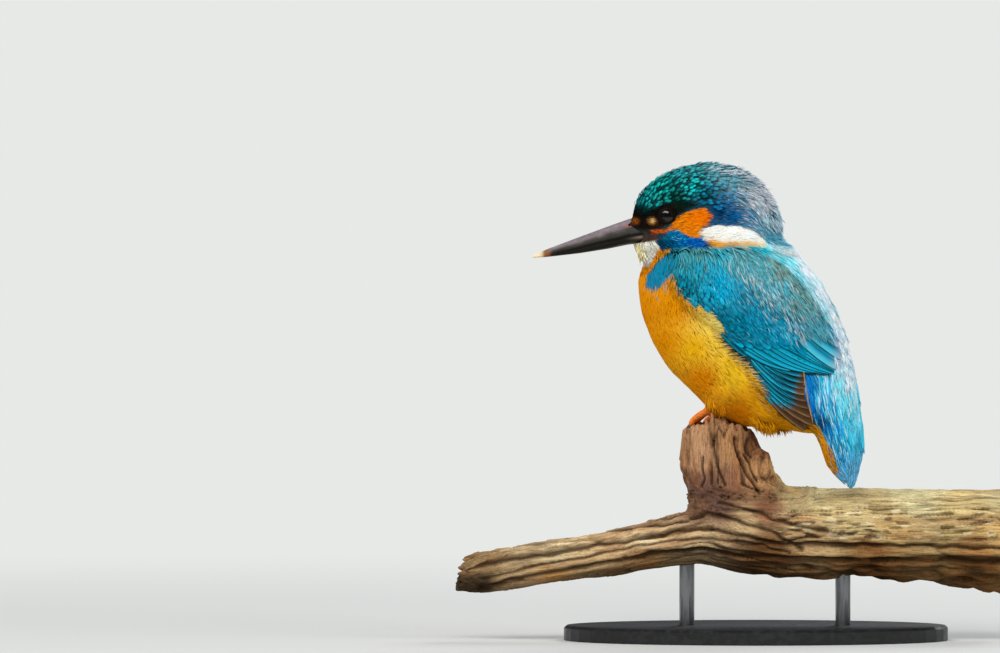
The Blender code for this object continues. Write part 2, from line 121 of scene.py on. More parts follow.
def side_view(places):
    """Millimetres across and up on the show plane, both sides alike, and how much of
    each place is head."""
    head = head_places(places)
    head_share = rising(places[:, 2] / MM, 125.5, 7)
    across_head = (head[:, 0] + NECK_X * math.cos(TURN)) / MM
    across_body = (places[:, 0] * math.cos(TURN)
                   - np.abs(places[:, 1]) * math.sin(TURN)) / MM
    across = across_head * head_share + across_body * (1 - head_share)
    return np.stack([across, places[:, 2] / MM], 1), head_share


EYE = middle("eye_left")
print("left eye sits at", [round(x / MM, 1) for x in EYE], "mm")
# %% [markdown]
# ## Helpers that wire nodes
# The air, the floor and every finish are built from nodes. These helpers
# place a node with its values and links in one line, so that each finish
# below reads as a short recipe.


# %% Nodes, values and links
def wire(tree, made, wires):
    """Gives a node's inputs, by name or number, their values or links."""
    for socket, value in wires.items():
        if isinstance(value, bpy.types.NodeSocket):
            tree.links.new(value, made.inputs[socket])
        else:
            made.inputs[socket].default_value = value
    return made


def node(tree, kind, wires=None, **settings):
    """A new node with its settings, and values or links by input name or number."""
    made = tree.nodes.new(kind)
    for name, value in settings.items():
        setattr(made, name, value)
    return wire(tree, made, wires or {})


def math_node(tree, operation, first, second=0, third=0):
    """A maths node's output."""
    return node(tree, "ShaderNodeMath", {0: first, 1: second, 2: third},
                operation=operation).outputs[0]


def mixed(tree, share, first, second, how="MIX"):
    """Two colours blended by a share."""
    return node(tree, "ShaderNodeMix", {0: share, 6: first, 7: second},
                data_type="RGBA", blend_type=how).outputs[2]


def ranged(tree, value, low, high, to_low=0, to_high=1):
    """A value moved from one range to another with soft ends."""
    return node(tree, "ShaderNodeMapRange",
                {"Value": value, "From Min": low, "From Max": high, "To Min": to_low,
                 "To Max": to_high}, interpolation_type="SMOOTHSTEP").outputs[0]


def noise(tree, place, scale, detail, rough=.5):
    """Cloudy noise over a place."""
    return node(tree, "ShaderNodeTexNoise", {"Vector": place, "Scale": scale, "Detail": detail,
                                             "Roughness": rough}).outputs[0]


def greyed(tree, paint, value):
    """A colour darkened by a value."""
    grey = node(tree, "ShaderNodeCombineColor", {0: value, 1: value, 2: value}).outputs[0]
    return mixed(tree, 1, paint, grey, "MULTIPLY")


def object_places(tree):
    """The object's own coordinates."""
    return node(tree, "ShaderNodeTexCoord").outputs["Object"]


def painted_on(tree, name="marking", output="Color"):
    """What a piece carries on its corners under a name."""
    return node(tree, "ShaderNodeAttribute", attribute_name=name).outputs[output]


def dented(tree, height, strength, distance):
    """A bump from a height."""
    return node(tree, "ShaderNodeBump", {"Height": height, "Strength": strength,
                                         "Distance": distance}).outputs[0]


def new_finish(name):
    """A new material, its node tree and its shader."""
    made = bpy.data.materials.new(name)
    made.use_nodes = True
    return made, made.node_tree, made.node_tree.nodes["Principled BSDF"]


def new_group(name, inputs, outputs):
    """A shader node group. Its sockets are lists of (name, kind, value)."""
    tree = bpy.data.node_groups.new(name, "ShaderNodeTree")
    for direction, sockets in (("INPUT", inputs), ("OUTPUT", outputs)):
        for label, kind, value in sockets:
            socket = tree.interface.new_socket(
                label, in_out=direction, socket_type="NodeSocket" + kind)
            if value is not None:
                socket.default_value = value
    return tree, tree.nodes.new("NodeGroupInput").outputs, tree.nodes.new("NodeGroupOutput")


print("node helpers are ready")
# %% [markdown]
# ## The studio
# A pale floor runs out until it has the colour of the air behind it, so
# there is no hard horizon. One broad lamp hangs above and in front, a weak
# one fills the other side, and a third lifts the back. The lens is long
# and far off, so the bird isn't stretched by perspective.

# %% The camera
VIEW_WIDTH, VIEW_DISTANCE, SENSOR_WIDTH = 1 / 3, 2.2, 36


def aimed(data, spot, way):
    """A camera or lamp at a spot, looking along a way."""
    made = bpy.data.objects.new(data.name, data)
    scene.collection.objects.link(made)
    made.location = spot
    made.rotation_mode = "QUATERNION"
    made.rotation_quaternion = way.to_track_quat("-Z", "Y")
    return made


camera_data = bpy.data.cameras.new("camera")
camera_data.lens = SENSOR_WIDTH * VIEW_DISTANCE / VIEW_WIDTH
camera_data.clip_end = 60
spot = ACROSS * -.0783 + Vector((0, 0, .1045)) + TOWARDS * VIEW_DISTANCE
scene.camera = aimed(camera_data, spot, -TOWARDS)
scene.view_settings.view_transform = "Standard"
print("camera", round(VIEW_DISTANCE, 2), "m away, lens", round(camera_data.lens), "mm")


# %% The lamps
def lamp(name, place, size, power, tint, tall=1):
    """A soft lamp at (right, near, up) of the bird, pointing at it, and `tall` times as
    high as it is wide."""
    data = bpy.data.lights.new(name, "AREA")
    data.energy, data.size, data.color = power, size, tint
    data.shape, data.size_y = "RECTANGLE", size * tall
    right, near, up = place
    spot = ACROSS * right + TOWARDS * near + Vector((0, 0, up))
    return aimed(data, spot, Vector((0, 0, .1)) - spot)


lamp("key_lamp", (-.55, 1, 1.15), 1.9, 20, (1, .98, .94), .27)
lamp("fill_lamp", (1.3, .75, .6), 1, 11, (.94, .97, 1)).visible_glossy = False
lamp("back_lamp", (.5, -1, .9), .7, 8, (1, 1, 1))
print("lamps:", [one.name for one in bpy.data.lights])

# %% The air
# The air lights the bird with a weak blue, shows as pale grey behind it,
# and is dimmer still in reflections, so that they don't wash out the coat.
AIR = (.8, .815, .8, 1)
LIT, IN_REFLECTIONS = .44, .1
air = bpy.data.worlds.new("air")
scene.world = air
air.use_nodes = True
tree = air.node_tree
rays = node(tree, "ShaderNodeLightPath").outputs
lit = node(tree, "ShaderNodeBackground",
           {"Color": (.86, .92, 1, 1),
            "Strength": ranged(tree, rays["Is Glossy Ray"], 0, 1, LIT, IN_REFLECTIONS)})
seen = wire(tree, tree.nodes["Background"], {"Color": AIR})
either = node(tree, "ShaderNodeMixShader",
              {0: rays["Is Camera Ray"], 1: lit.outputs[0], 2: seen.outputs[0]})
wire(tree, tree.nodes["World Output"], {0: either.outputs[0]})
print("air behind the bird:", AIR[:3])

# %% The floor
FLOOR_RADIUS, FADE_FROM, FADE_TO = 14, .12, .9
disc = bmesh.new()
bmesh.ops.create_circle(disc, cap_ends=True, segments=96, radius=FLOOR_RADIUS)
floor_mesh = bpy.data.meshes.new("floor")
disc.to_mesh(floor_mesh)
disc.free()
floor = bpy.data.objects.new("floor", floor_mesh)
scene.collection.objects.link(floor)
floor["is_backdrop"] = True
floor_paint, tree, shader = new_finish("floor")
rays = node(tree, "ShaderNodeLightPath").outputs
far = node(tree, "ShaderNodeVectorMath", {0: object_places(tree)}, operation="LENGTH")
fade = ranged(tree, far.outputs["Value"], FADE_FROM, FADE_TO)
wire(tree, shader, {
    "Roughness": 1, "Specular IOR Level": 0,
    "Base Color": mixed(tree, fade, (.62, .62, .6, 1), (0, 0, 0, 1)),
    "Emission Color": mixed(tree, fade, (0, 0, 0, 1), AIR),
    "Emission Strength": ranged(tree, rays["Is Glossy Ray"], 0, 1, 1, .1)})
floor_mesh.materials.append(floor_paint)
print("floor fades from", FADE_FROM, "to", FADE_TO, "m")
# %% [markdown]
# ## Finishes that more than one piece shares
# A node group is a small machine with named inputs and outputs. Each
# material places the same group and gives it its own values. `vane_barbs`
# draws the fine slanting barbs of a feather, and `patches` breaks up any
# plain colour, as dust and wear do.

# %% The barbs of a feather
# Vane runs 0 to 1 across the feather and 0 to 1 from root to tip.
FULL_TURN = 6.283
barbs, given, result = new_group(
    "vane_barbs",
    [("Colour", "Color", (1, 1, 1, 1)), ("Vane", "Vector", None), ("Barbs", "Float", 30),
     ("Slant", "Float", 1), ("Depth", "Float", .3), ("Shaft", "Float", .4)],
    [("Colour", "Color", None), ("Height", "Float", None)])
maths = partial(math_node, barbs)
split = node(barbs, "ShaderNodeSeparateXYZ", {0: given["Vane"]})
off_shaft = maths("ABSOLUTE", maths("MULTIPLY_ADD", split.outputs[0], 2, -1))
lean = maths("MULTIPLY", given["Slant"], .2)
slanted = maths("SUBTRACT", split.outputs[1], maths("MULTIPLY", off_shaft, lean))
uneven = noise(barbs, given["Vane"], 7, 2)
phase = maths("ADD", maths("MULTIPLY", slanted, given["Barbs"]), maths("MULTIPLY", uneven, 2))
wave = maths("MULTIPLY_ADD", maths("SINE", maths("MULTIPLY", phase, FULL_TURN)), .5, .5)
ridge = maths("MULTIPLY", ranged(barbs, off_shaft, 0, .16, 1, 0), given["Shaft"])
shade = maths("SUBTRACT", 1, maths("ADD", maths("MULTIPLY", wave, given["Depth"]), ridge))
wire(barbs, result, {"Colour": greyed(barbs, given["Colour"], shade),
                     "Height": maths("SUBTRACT", 1, wave)})

# %% Uneven patches on any finish
patches, given, result = new_group(
    "patches",
    [("Colour", "Color", (1, 1, 1, 1)), ("Other", "Color", (0, 0, 0, 1)),
     ("Place", "Vector", None), ("Scale", "Float", 100), ("Low", "Float", .45),
     ("High", "Float", .6)],
    [("Colour", "Color", None), ("Mask", "Float", None)])
cloud = noise(patches, given["Place"], given["Scale"], 4)
mask = node(patches, "ShaderNodeMapRange",
            {"Value": cloud, "From Min": given["Low"], "From Max": given["High"]}).outputs[0]
wire(patches, result, {"Colour": mixed(patches, mask, given["Colour"], given["Other"]),
                       "Mask": mask})
print("groups shared:", [g.name for g in bpy.data.node_groups])


# %% A feather finish, with a few settings
def feather_finish(name, barb_count, depth, shaft, rough, gloss):
    """A material that takes its colour from the piece's own marking, and its barbs from
    the Vane map."""
    made, tree, shader = new_finish(name)
    worked = node(tree, "ShaderNodeGroup",
                  {"Colour": painted_on(tree),
                   "Vane": node(tree, "ShaderNodeUVMap", uv_map="Vane").outputs[0],
                   "Barbs": barb_count, "Depth": depth, "Shaft": shaft}, node_tree=barbs).outputs
    wire(tree, shader, {"Base Color": worked["Colour"], "Roughness": rough,
                        "Normal": dented(tree, worked["Height"], .25, .0001),
                        "Specular IOR Level": gloss})
    return made


DOWN_FINISH = feather_finish("down_feathers", 9, .12, 0, .8, .04)
SHINE_FINISH = feather_finish("shining_feathers", 9, .12, 0, .5, .025)
VANE_FINISH = feather_finish("wing_vanes", 46, .22, .25, .5, .03)


# %% A painted finish for skin, horn and eyes
def painted_finish(name, rough, gloss, scale, strength, bump, low=.42, high=.62):
    """A material that takes a piece's own marking and breaks it with patches and a bump."""
    made, tree, shader = new_finish(name)
    marking = painted_on(tree)
    darker = mixed(tree, 1, marking, (strength, strength, strength, 1), "MULTIPLY")
    broken = node(tree, "ShaderNodeGroup",
                  {"Colour": marking, "Other": darker, "Place": object_places(tree),
                   "Scale": scale, "Low": low, "High": high}, node_tree=patches).outputs
    wire(tree, shader, {"Base Color": broken["Colour"], "Roughness": rough,
                        "Specular IOR Level": gloss})
    if bump:
        wire(tree, shader, {"Normal": dented(tree, broken["Mask"], bump, .0002)})
    return made


EVEN = {"bump": 0, "low": .45, "high": .6}
SKIN_FINISH = painted_finish("skin", .8, .5, 900, .5, **EVEN)
EYE_FINISH = painted_finish("eye", .05, .5, 1800, .6, **EVEN)
BILL_FINISH = painted_finish("horn", .42, .2, 700, .8, .12)
LID_FINISH = painted_finish("lid_skin", .6, .1, 1500, .6, .4)
LEG_FINISH = painted_finish("foot_skin", .45, .35, 1600, .75, .5)
CLAW_FINISH = painted_finish("claw_horn", .3, .45, 1800, .7, .2)
print("finishes shared:", [one.name for one in bpy.data.materials][-9:])
# %% [markdown]
# ## The skin
# The solids of the head, neck, trunk and wings end in hard joints. A real
# skin has none, so copies of them are swollen by a hair's breadth, joined
# and wrapped with a voxel remesh, which makes one closed surface. That
# wrap is used twice: as it is, it is the line that the coat reaches, and
# smoothed and drawn inwards by the coat's depth, it is the skin.


# %% Wrapping solids in one surface
def joined(nodes, swell=0):
    """A bmesh of merged copies of CAD nodes, each swollen along its normals."""
    whole = bmesh.new()
    for name in nodes:
        one = bmesh.new()
        one.from_mesh(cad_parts[name].data)
        bmesh.ops.remove_doubles(one, verts=one.verts, dist=2e-6)
        bmesh.ops.recalc_face_normals(one, faces=one.faces)
        one.normal_update()
        for corner in one.verts:
            corner.co += corner.normal * swell
        spare = bpy.data.meshes.new("spare")
        one.to_mesh(spare)
        one.free()
        whole.from_mesh(spare)
        bpy.data.meshes.remove(spare)
    return whole


def wrapped(shape, name, voxel):
    """The bmesh wrapped in one closed surface of small even faces, as a mesh."""
    mesh = bpy.data.meshes.new(name)
    shape.to_mesh(mesh)
    shape.free()
    holder = bpy.data.objects.new(name, mesh)
    scene.collection.objects.link(holder)
    remesh = holder.modifiers.new("wrap", "REMESH")
    remesh.mode, remesh.voxel_size = "VOXEL", voxel
    view = bpy.context.evaluated_depsgraph_get()
    result = bpy.data.meshes.new_from_object(holder.evaluated_get(view))
    bpy.data.objects.remove(holder)
    bpy.data.meshes.remove(mesh)
    return result


def arrays(mesh):
    """Corner places, corner normals, and triangles of a mesh, as arrays."""
    places = np.zeros(len(mesh.vertices) * 3)
    mesh.vertices.foreach_get("co", places)
    normals = np.zeros(len(mesh.vertices) * 3)
    mesh.vertex_normals.foreach_get("vector", normals)
    mesh.calc_loop_triangles()
    faces = np.zeros(len(mesh.loop_triangles) * 3, np.int64)
    mesh.loop_triangles.foreach_get("vertices", faces)
    return places.reshape(-1, 3), normals.reshape(-1, 3), faces.reshape(-1, 3)


def rubbed(mesh, rounds):
    """A mesh as a bmesh, with its small steps rubbed down."""
    shape = bmesh.new()
    shape.from_mesh(mesh)
    for _ in range(rounds):
        bmesh.ops.smooth_vert(shape, verts=shape.verts, factor=.5, use_axis_x=True,
                              use_axis_y=True, use_axis_z=True)
    return shape


def held(share):
    """A number held between 0 and 1."""
    return min(1, max(0, share))


def tucked(shape):
    """A bmesh with its vent drawn up a little and the end of its tail drawn in."""
    for corner in shape.verts:
        at = corner.co.x * math.cos(TURN) - abs(corner.co.y) * math.sin(TURN)
        into = held((at / MM - 1) / 6) * held((34 - at / MM) / 6)
        level = corner.co.z / MM
        corner.co.z += 2.1 * MM * into * held((74.5 - level) / 5) * held((level - 61) / 5)
        if at > 30 * MM:
            corner.co.x -= 1.5 * MM * held((61.5 * MM - corner.co.z) / (9 * MM))
    return shape


# %% The line that the coat reaches
FLESH = ["head", "neck", "trunk", "wing_left", "wing_right", "tail"]
BILL = ["bill_upper", "bill_lower"]
covered = joined(FLESH + BILL, .15 * MM)
for eye in ("eye_left", "eye_right"):
    bmesh.ops.create_icosphere(covered, subdivisions=3, radius=3.7 * MM,
                               matrix=Matrix.Translation(middle(eye)))
coat_line = wrapped(covered, "coat_line", .8 * MM)
shape = tucked(rubbed(coat_line, 3))
shape.to_mesh(coat_line)
shape.free()
LINE_PLACES, LINE_NORMALS, LINE_FACES = arrays(coat_line)
LINE = BVHTree.FromPolygons(LINE_PLACES.tolist(), LINE_FACES.tolist())
BILL_TREE = BVHTree.FromBMesh(joined(BILL))
print("coat line:", len(LINE_FACES), "triangles")


def on_line(places):
    """The nearest place on the coat line to each place, and the smooth normal there."""
    found, faces = np.empty_like(places), np.empty(len(places), np.int64)
    for index, place in enumerate(places.tolist()):
        near, _, face, _ = LINE.find_nearest(place)
        found[index], faces[index] = near, face
    normals = LINE_NORMALS[LINE_FACES[faces]].mean(1)
    return found, normals / np.linalg.norm(normals, axis=1)[:, None]


def to_bill(places):
    """How far each place is from the bill, in millimetres."""
    return np.array([BILL_TREE.find_nearest(place)[3] for place in places.tolist()]) / MM


def to_eye(places):
    """How far each place is from the nearer eye's middle, in millimetres."""
    return np.minimum(*(np.linalg.norm(places - np.array(middle(eye)), axis=1)
                        for eye in ("eye_left", "eye_right"))) / MM


def round_eye(places):
    """How far each place is from the axis of an eye's opening, in millimetres."""
    head = head_places(places)
    eye = head_places(np.array([EYE]))[0]
    off_axis = np.hypot(head[:, 0] - eye[0], head[:, 2] - eye[2]) / MM
    return off_axis + 9 * (np.abs(head[:, 1]) < 4 * MM)


# %% The skin itself
# The skin lies up to 1.1 mm under the coat line, and less by the bill and
# the lids. Where the body is thin, it takes no more than a share of it.
LOFT, FAR_SIDE = 1.1, 20 * MM
skin_mesh = wrapped(joined(FLESH, .1 * MM), "skin", 1 * MM)
shape = tucked(rubbed(skin_mesh, 5))
shape.normal_update()
places = np.array([corner.co for corner in shape.verts])
depth = np.minimum(LOFT, .15 + .45 * np.minimum(to_bill(places), to_eye(places) - 3))
inside = BVHTree.FromBMesh(shape)
for corner, wanted in zip(shape.verts, depth.tolist()):
    start = corner.co - corner.normal * .05 * MM
    thickness = inside.ray_cast(start, -corner.normal, FAR_SIDE)[3]
    room = .3 * (thickness or FAR_SIDE)
    corner.co = corner.co - corner.normal * min(max(wanted, .1) * MM, room)
shape.to_mesh(skin_mesh)
shape.free()
print("skin:", len(skin_mesh.vertices), "corners,", depth.mean().round(2), "mm below the coat")


# %% A mesh as a piece
def give_marking(mesh, paints):
    """Writes a colour for every corner of a mesh as the attribute that finishes read."""
    layer = mesh.color_attributes.new("marking", "FLOAT_COLOR", "POINT")
    flat = np.ones((len(mesh.vertices), 4), np.float32)
    flat[:, :3] = paints.reshape(-1, 3)
    layer.data.foreach_set("color", flat.ravel())


def placed(mesh, paints, name, finish, nodes):
    """A mesh with its colours as a smooth piece that rides on the body."""
    give_marking(mesh, paints)
    mesh.shade_smooth()
    mesh.materials.append(finish)
    piece = bpy.data.objects.new(name, mesh)
    scene.collection.objects.link(piece)
    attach(piece, "root")
    if nodes:
        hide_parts(*nodes)
    print(f"{name}: {len(mesh.polygons)} faces")
    return piece
# %% [markdown]
# ## The markings
# A kingfisher's colours change at sharp lines that every bird shares: the
# rust ear patch, the white flash on the neck, the blue stripe below the
# cheek. Each is a closed outline on the show plane, and inside it the
# paint is a wash between a few named colours. The same rule colours the
# skin and every feather, so nothing shows through in the wrong colour.


# %% Soft unevenness that is the same on each run
def ripple(places, size, seed):
    """Smooth noise from -1 to 1 over places, with bumps about `size` across."""
    grid = places / size
    low = np.floor(grid).astype(np.int64)
    share = grid - low
    share = share * share * (3 - 2 * share)
    total = np.zeros(len(places))
    # Large odd numbers scatter the cells, in the same way on each run.
    for corner in range(8):
        step = np.array([corner & 1, corner >> 1 & 1, corner >> 2 & 1])
        cell = low + step
        key = (cell[:, 0] * 73856093) ^ (cell[:, 1] * 19349663) ^ (cell[:, 2] * 83492791)
        key = (key + seed * 7919) & 0x7fffffff
        key = (key ^ key >> 13) * 1274126177 & 0x7fffffff
        key = (key ^ key >> 15) % 20011
        total += (key / 10005.5 - 1) * np.prod(np.where(step, share, 1 - share), 1)
    return total


def toned(rng, spread, count, mean=0):
    """A brightness for each of a count of tufts, spread about 1."""
    return np.exp(rng.normal(mean, spread, count))[:, None]


# %% Outlines and washes
def to_line(points, line):
    """How far points lie from a line of corners, in millimetres."""
    nearest = np.full(len(points), 1e9)
    for start, end in zip(line, line[1:]):
        side = end - start
        share = np.clip((points - start) @ side / (side @ side), 0, 1)
        gap = points - start - share[:, None] * side
        nearest = np.minimum(nearest, np.linalg.norm(gap, axis=1))
    return nearest


def reach(points, outline):
    """How far points lie outside a closed outline, in millimetres, and below 0 inside."""
    corners = np.array(outline + outline[:1], float)
    inside = np.zeros(len(points), bool)
    for start, end in zip(corners, corners[1:]):
        crosses = (start[1] > points[:, 1]) != (end[1] > points[:, 1])
        side = end - start
        cut = start[0] + (points[:, 1] - start[1]) / (side[1] or 1e-9) * side[0]
        inside ^= crosses & (points[:, 0] < cut)
    nearest = to_line(points, corners)
    return np.where(inside, -nearest, nearest)


def blended(points, spots, values, near, power):
    """Between the values at a few spots, each of which counts for more the nearer it is."""
    total, weights = 0, 0
    for (across, up), value in zip(spots, values):
        gap = np.hypot(points[:, 0] - across, points[:, 1] - up) + near
        weight = (gap ** -power)[:, None]
        total, weights = total + weight * value, weights + weight
    return total / weights


def wash(points, stops, power=3):
    """A colour between the named (across, up, red, green, blue) stops."""
    return blended(points, [stop[:2] for stop in stops], [colour(*stop[2:]) for stop in stops],
                   .8, power)


def tinted(paint, tone, share):
    """A paint moved by a share toward a tone, which is another paint or screen values."""
    tone = colour(*tone) if isinstance(tone, tuple) else tone
    return paint + (tone - paint) * share[:, None]


print("halfway from black to white:", wash(
    np.zeros((1, 2)), [(-1, 0, 0, 0, 0), (1, 0, 255, 255, 255)])[0].round(2))

# %% Outlines, in millimetres across and up on the show plane
EAR = [
    (-24, 136), (-20.9, 139.2), (-19, 141.2), (-14.8, 143.2), (-12, 143.9), (-10.4, 144),
    (-9.9, 142.4), (-8.6, 141.2), (-9, 139.8), (-10.2, 137.8), (-12.2, 136.8), (-12.6, 133.6),
    (-15.2, 134), (-18.1, 135.3), (-20.5, 136.3)]
GAPE = [(-28.6, 136.5), (-24, 136.9), (-22, 136.3), (-24, 135.6), (-28.3, 135.7)]
LORE = [
    (-36.2, 141.6), (-34.6, 143.6), (-30.5, 142.8), (-27, 143.4), (-23.5, 145.2), (-18.5, 146.2),
    (-14.2, 145.4), (-13.8, 144.2), (-17.5, 143), (-19.6, 141.4), (-21.4, 139.2), (-24.5, 137.2),
    (-28.3, 136.7), (-33, 137), (-36.2, 138.2)]
BILL_BASE = [(-40, 138), (-28.5, 136.5), (-26.2, 135.6), (-25.8, 133), (-30, 132.6), (-40, 130.5)]
MALAR = [
    (-24.2, 133.4), (-22.9, 136.4), (-20.9, 136.8), (-19.2, 136.2), (-15.9, 134.2), (-12.3, 133.8),
    (-9.2, 131.8), (-9.1, 130.6), (-13, 130.6), (-18.1, 130.6), (-21.3, 130.8), (-24.6, 129.9),
    (-25.9, 131.5)]
NECK_PATCH = [
    (-12.8, 135.6), (-11, 137.2), (-7.4, 138), (-1.6, 138.1), (3.2, 137.3), (6.6, 135.8),
    (8.8, 133.8), (10.6, 131.6), (6, 131.4), (1, 131.2), (-3.9, 131.6), (-9, 131.6), (-11.6, 133.1)]
PATCH_EDGE = [
    (-9.8, 133), (-6.4, 132.5), (-1, 132.4), (4, 132.6), (8, 132.4), (10.6, 131.6), (6, 131),
    (1, 130.9), (-4, 131.1), (-8.8, 131.2)]
THROAT = [
    (-36.5, 133), (-30, 133.8), (-25.6, 133.2), (-25.7, 130.5), (-26.5, 128.6), (-28.6, 125.4),
    (-30.6, 125), (-36, 127)]
BREAST_SIDE = [
    (-20.2, 131), (-23.6, 128.4), (-27, 124.6), (-29.4, 121.4), (-29.6, 118.6), (-27.4, 117.2),
    (-24.4, 119.4), (-20.8, 122.4), (-17.2, 126.2), (-15, 130)]
WING = [
    (-20.4, 123), (-18.9, 117.6), (-16, 113), (-8.6, 109.3), (-5.1, 104.9), (-5.9, 100.1),
    (-1.6, 95.8), (3.6, 91.2), (8, 84.3), (11, 78.4), (16, 73.6), (21, 70.8), (25.4, 70.6),
    (26.5, 75), (24.6, 84), (34.8, 87), (35.4, 93.7), (33.4, 99.6), (30, 108.6), (25.6, 116.8),
    (20.6, 122.6), (15.6, 127.6), (12, 131), (6, 131.6), (-2, 131.4), (-9, 130.8), (-18, 130.2)]
COLLAR = [
    (3, 131.2), (8.6, 130.9), (11, 132.8), (14.4, 131.8), (18.4, 128.4), (22.6, 123.6),
    (20.2, 121.4), (14.8, 126), (9.4, 128.8), (5, 130)]
STRIPE = [
    (10, 133), (1.6, 131.6), (4.9, 130), (9.4, 128.6), (14.8, 126), (20.2, 120.8), (24.8, 115),
    (28.6, 108.8), (31.2, 101), (32.2, 93.7), (30, 89), (21, 89), (22, 82), (24.4, 76), (26.6, 71),
    (29.4, 66), (32.4, 58.4), (32.4, 48), (60, 48), (60, 133)]
UNDERTAIL = [
    (22, 71.5), (25.4, 73.6), (28.2, 69.6), (30.8, 64), (33.2, 57.4), (31.4, 57), (28.4, 62),
    (25, 66.6), (20, 69)]
SPOTS = [
    (-33.4, 139.4, 2, (176, 92, 24)), (-28, 139.6, 2.2, (226, 150, 70)),
    (-27.8, 139.7, 1.3, (255, 222, 150))]

# %% Washes inside them, as (across, up, red, green, blue)
# The pale grey and pale cyan stops at (6, 147) and (10.5, 141) are painted sheen on the nape's
# blue.
CROWN_WASH = [
    (-34, 142, 2, 44, 46), (-31, 149, 4, 74, 76), (-22, 152, 4, 84, 82), (-13, 152, 2, 66, 66),
    (-20, 147.5, 4, 44, 36), (-10, 148, 2, 56, 60), (-5, 157, 84, 140, 148),
    (2, 153, 124, 172, 182), (6, 147, 190, 208, 214), (10.5, 141, 186, 220, 228),
    (-6, 143, 0, 60, 104), (-1, 141, 0, 92, 150), (4, 141.5, 60, 136, 176),
    (11, 134.5, 90, 180, 204)]
EAR_WASH = [
    (-20, 138.5, 246, 138, 10), (-13, 141, 240, 122, 0), (-13, 136, 246, 142, 10),
    (-9, 140, 232, 112, 0)]
LORE_WASH = [
    (-34, 140, 30, 16, 8), (-24, 141, 22, 14, 8), (-18, 146, 8, 40, 30), (-30, 142.8, 8, 26, 24),
    (-23, 138, 60, 34, 14)]
MALAR_WASH = [
    (-24, 131.5, 0, 60, 92), (-22, 134.5, 0, 120, 170), (-18, 132.5, 0, 106, 180),
    (-14, 132.5, 0, 112, 206), (-10, 131.2, 0, 84, 170)]
PATCH_WASH = [
    (-8, 136, 244, 246, 242), (4, 135, 240, 242, 238), (-2, 136, 246, 247, 244),
    (-9.4, 131.9, 228, 164, 60), (-6, 131.4, 226, 160, 56), (-2, 131.2, 226, 160, 60),
    (3, 131.2, 232, 180, 100), (7, 131.4, 236, 206, 160), (-10, 134, 240, 238, 226),
    (-5.4, 134, 242, 243, 236), (-1.4, 134, 242, 243, 236), (2.6, 133.8, 238, 240, 234),
    (6.6, 133.6, 230, 232, 228)]
PATCH_EDGE_WASH = [
    (-8, 132, 222, 148, 14), (-5, 132.2, 214, 160, 60), (-2, 131.8, 216, 150, 40),
    (1, 132.2, 214, 176, 104), (4, 131.8, 220, 176, 96), (8, 132, 226, 206, 160)]
THROAT_WASH = [
    (-33, 129, 240, 222, 160), (-31.6, 127.6, 240, 222, 160), (-29, 131, 255, 254, 240),
    (-28, 127, 255, 255, 252)]
BREAST_SIDE_WASH = [(-19, 129, 40, 140, 156), (-25, 124, 20, 140, 176), (-28, 119, 30, 128, 164)]
BREAST_WASH = [
    (-29, 122, 236, 148, 10), (-31, 110, 228, 142, 0), (-21, 112, 232, 150, 0),
    (-24, 100, 232, 148, 0), (-14, 98, 242, 184, 16), (-7, 99, 250, 208, 64),
    # The stop at (-9, 106) is raised to pale cream: painted light on the flank where the wing's
    # edge shades it.
    (-9, 106, 255, 220, 92), (-2, 90, 250, 200, 36), (-12, 88, 226, 136, 0), (0, 76, 206, 118, 0),
    (8, 80, 234, 164, 16), (14, 73, 222, 148, 4), (24, 68, 226, 162, 40)]
UNDERTAIL_WASH = [(25, 70, 232, 160, 24), (30, 63, 222, 144, 16)]
MANTLE_WASH = [
    (-18, 119, 0, 104, 122), (-12, 128.5, 92, 156, 150), (-12, 125.4, 40, 186, 212),
    (-6, 127.5, 60, 182, 202), (-6, 119, 0, 200, 246), (2, 127, 100, 176, 184),
    (6, 122, 96, 180, 192), (14, 123, 128, 172, 164), (20, 114, 104, 164, 160),
    (26, 104, 80, 160, 176), (6, 112, 20, 150, 184), (-6, 106, 0, 104, 130),
    (16, 104, 40, 150, 180), (22, 70.6, 60, 44, 34), (17, 73.6, 60, 44, 34),
    (12, 117, 90, 184, 204), (0, 107, 0, 112, 140), (8, 106, 0, 128, 160), (14, 101, 0, 146, 184)]
# In the collar and stripe washes the near-white and lilac stops are painted sheen over the
# feathers' own pale azure.
COLLAR_WASH = [
    (4, 130.8, 0, 180, 204), (9, 129.7, 20, 206, 222), (12.4, 131.4, 190, 236, 242),
    (16, 128.8, 238, 244, 248), (14.6, 127, 10, 208, 222), (19, 123.6, 40, 210, 226),
    (20.8, 125, 246, 244, 250), (18, 126.2, 130, 230, 240)]
STRIPE_WASH = [
    (4, 131, 0, 170, 196), (9, 129.6, 10, 200, 220), (13, 131.4, 226, 240, 246),
    (15, 127, 30, 210, 226), (18.6, 127.6, 244, 246, 250), (22.6, 123.6, 248, 244, 250),
    (20.2, 122.2, 60, 212, 230), (26.6, 117, 252, 248, 254), (25.2, 116, 70, 210, 226),
    (32, 108, 250, 246, 252), (29.2, 108.6, 110, 216, 230), (35.4, 98, 244, 244, 250),
    (38, 90, 226, 240, 248), (32.4, 94, 222, 238, 246), (24, 86, 0, 132, 214),
    (25, 79, 0, 116, 204), (29, 86, 40, 190, 240), (29.6, 73, 0, 124, 210), (26.6, 75, 6, 56, 84),
    (25.6, 79, 0, 84, 150), (33, 86, 130, 230, 244), (33, 78, 100, 222, 240),
    (37, 82, 80, 222, 240), (40, 84, 190, 232, 242), (41, 74, 110, 216, 234),
    (36, 68, 60, 206, 234), (33, 64, 60, 170, 224), (38, 58, 110, 186, 226)]
BILL_BASE_WASH = [
    (-34, 135, 60, 54, 52), (-29.6, 136, 56, 48, 44), (-28, 134.4, 52, 40, 34),
    (-28, 133.2, 96, 52, 36), (-26.4, 135, 150, 74, 48), (-26.2, 133.2, 104, 50, 34)]


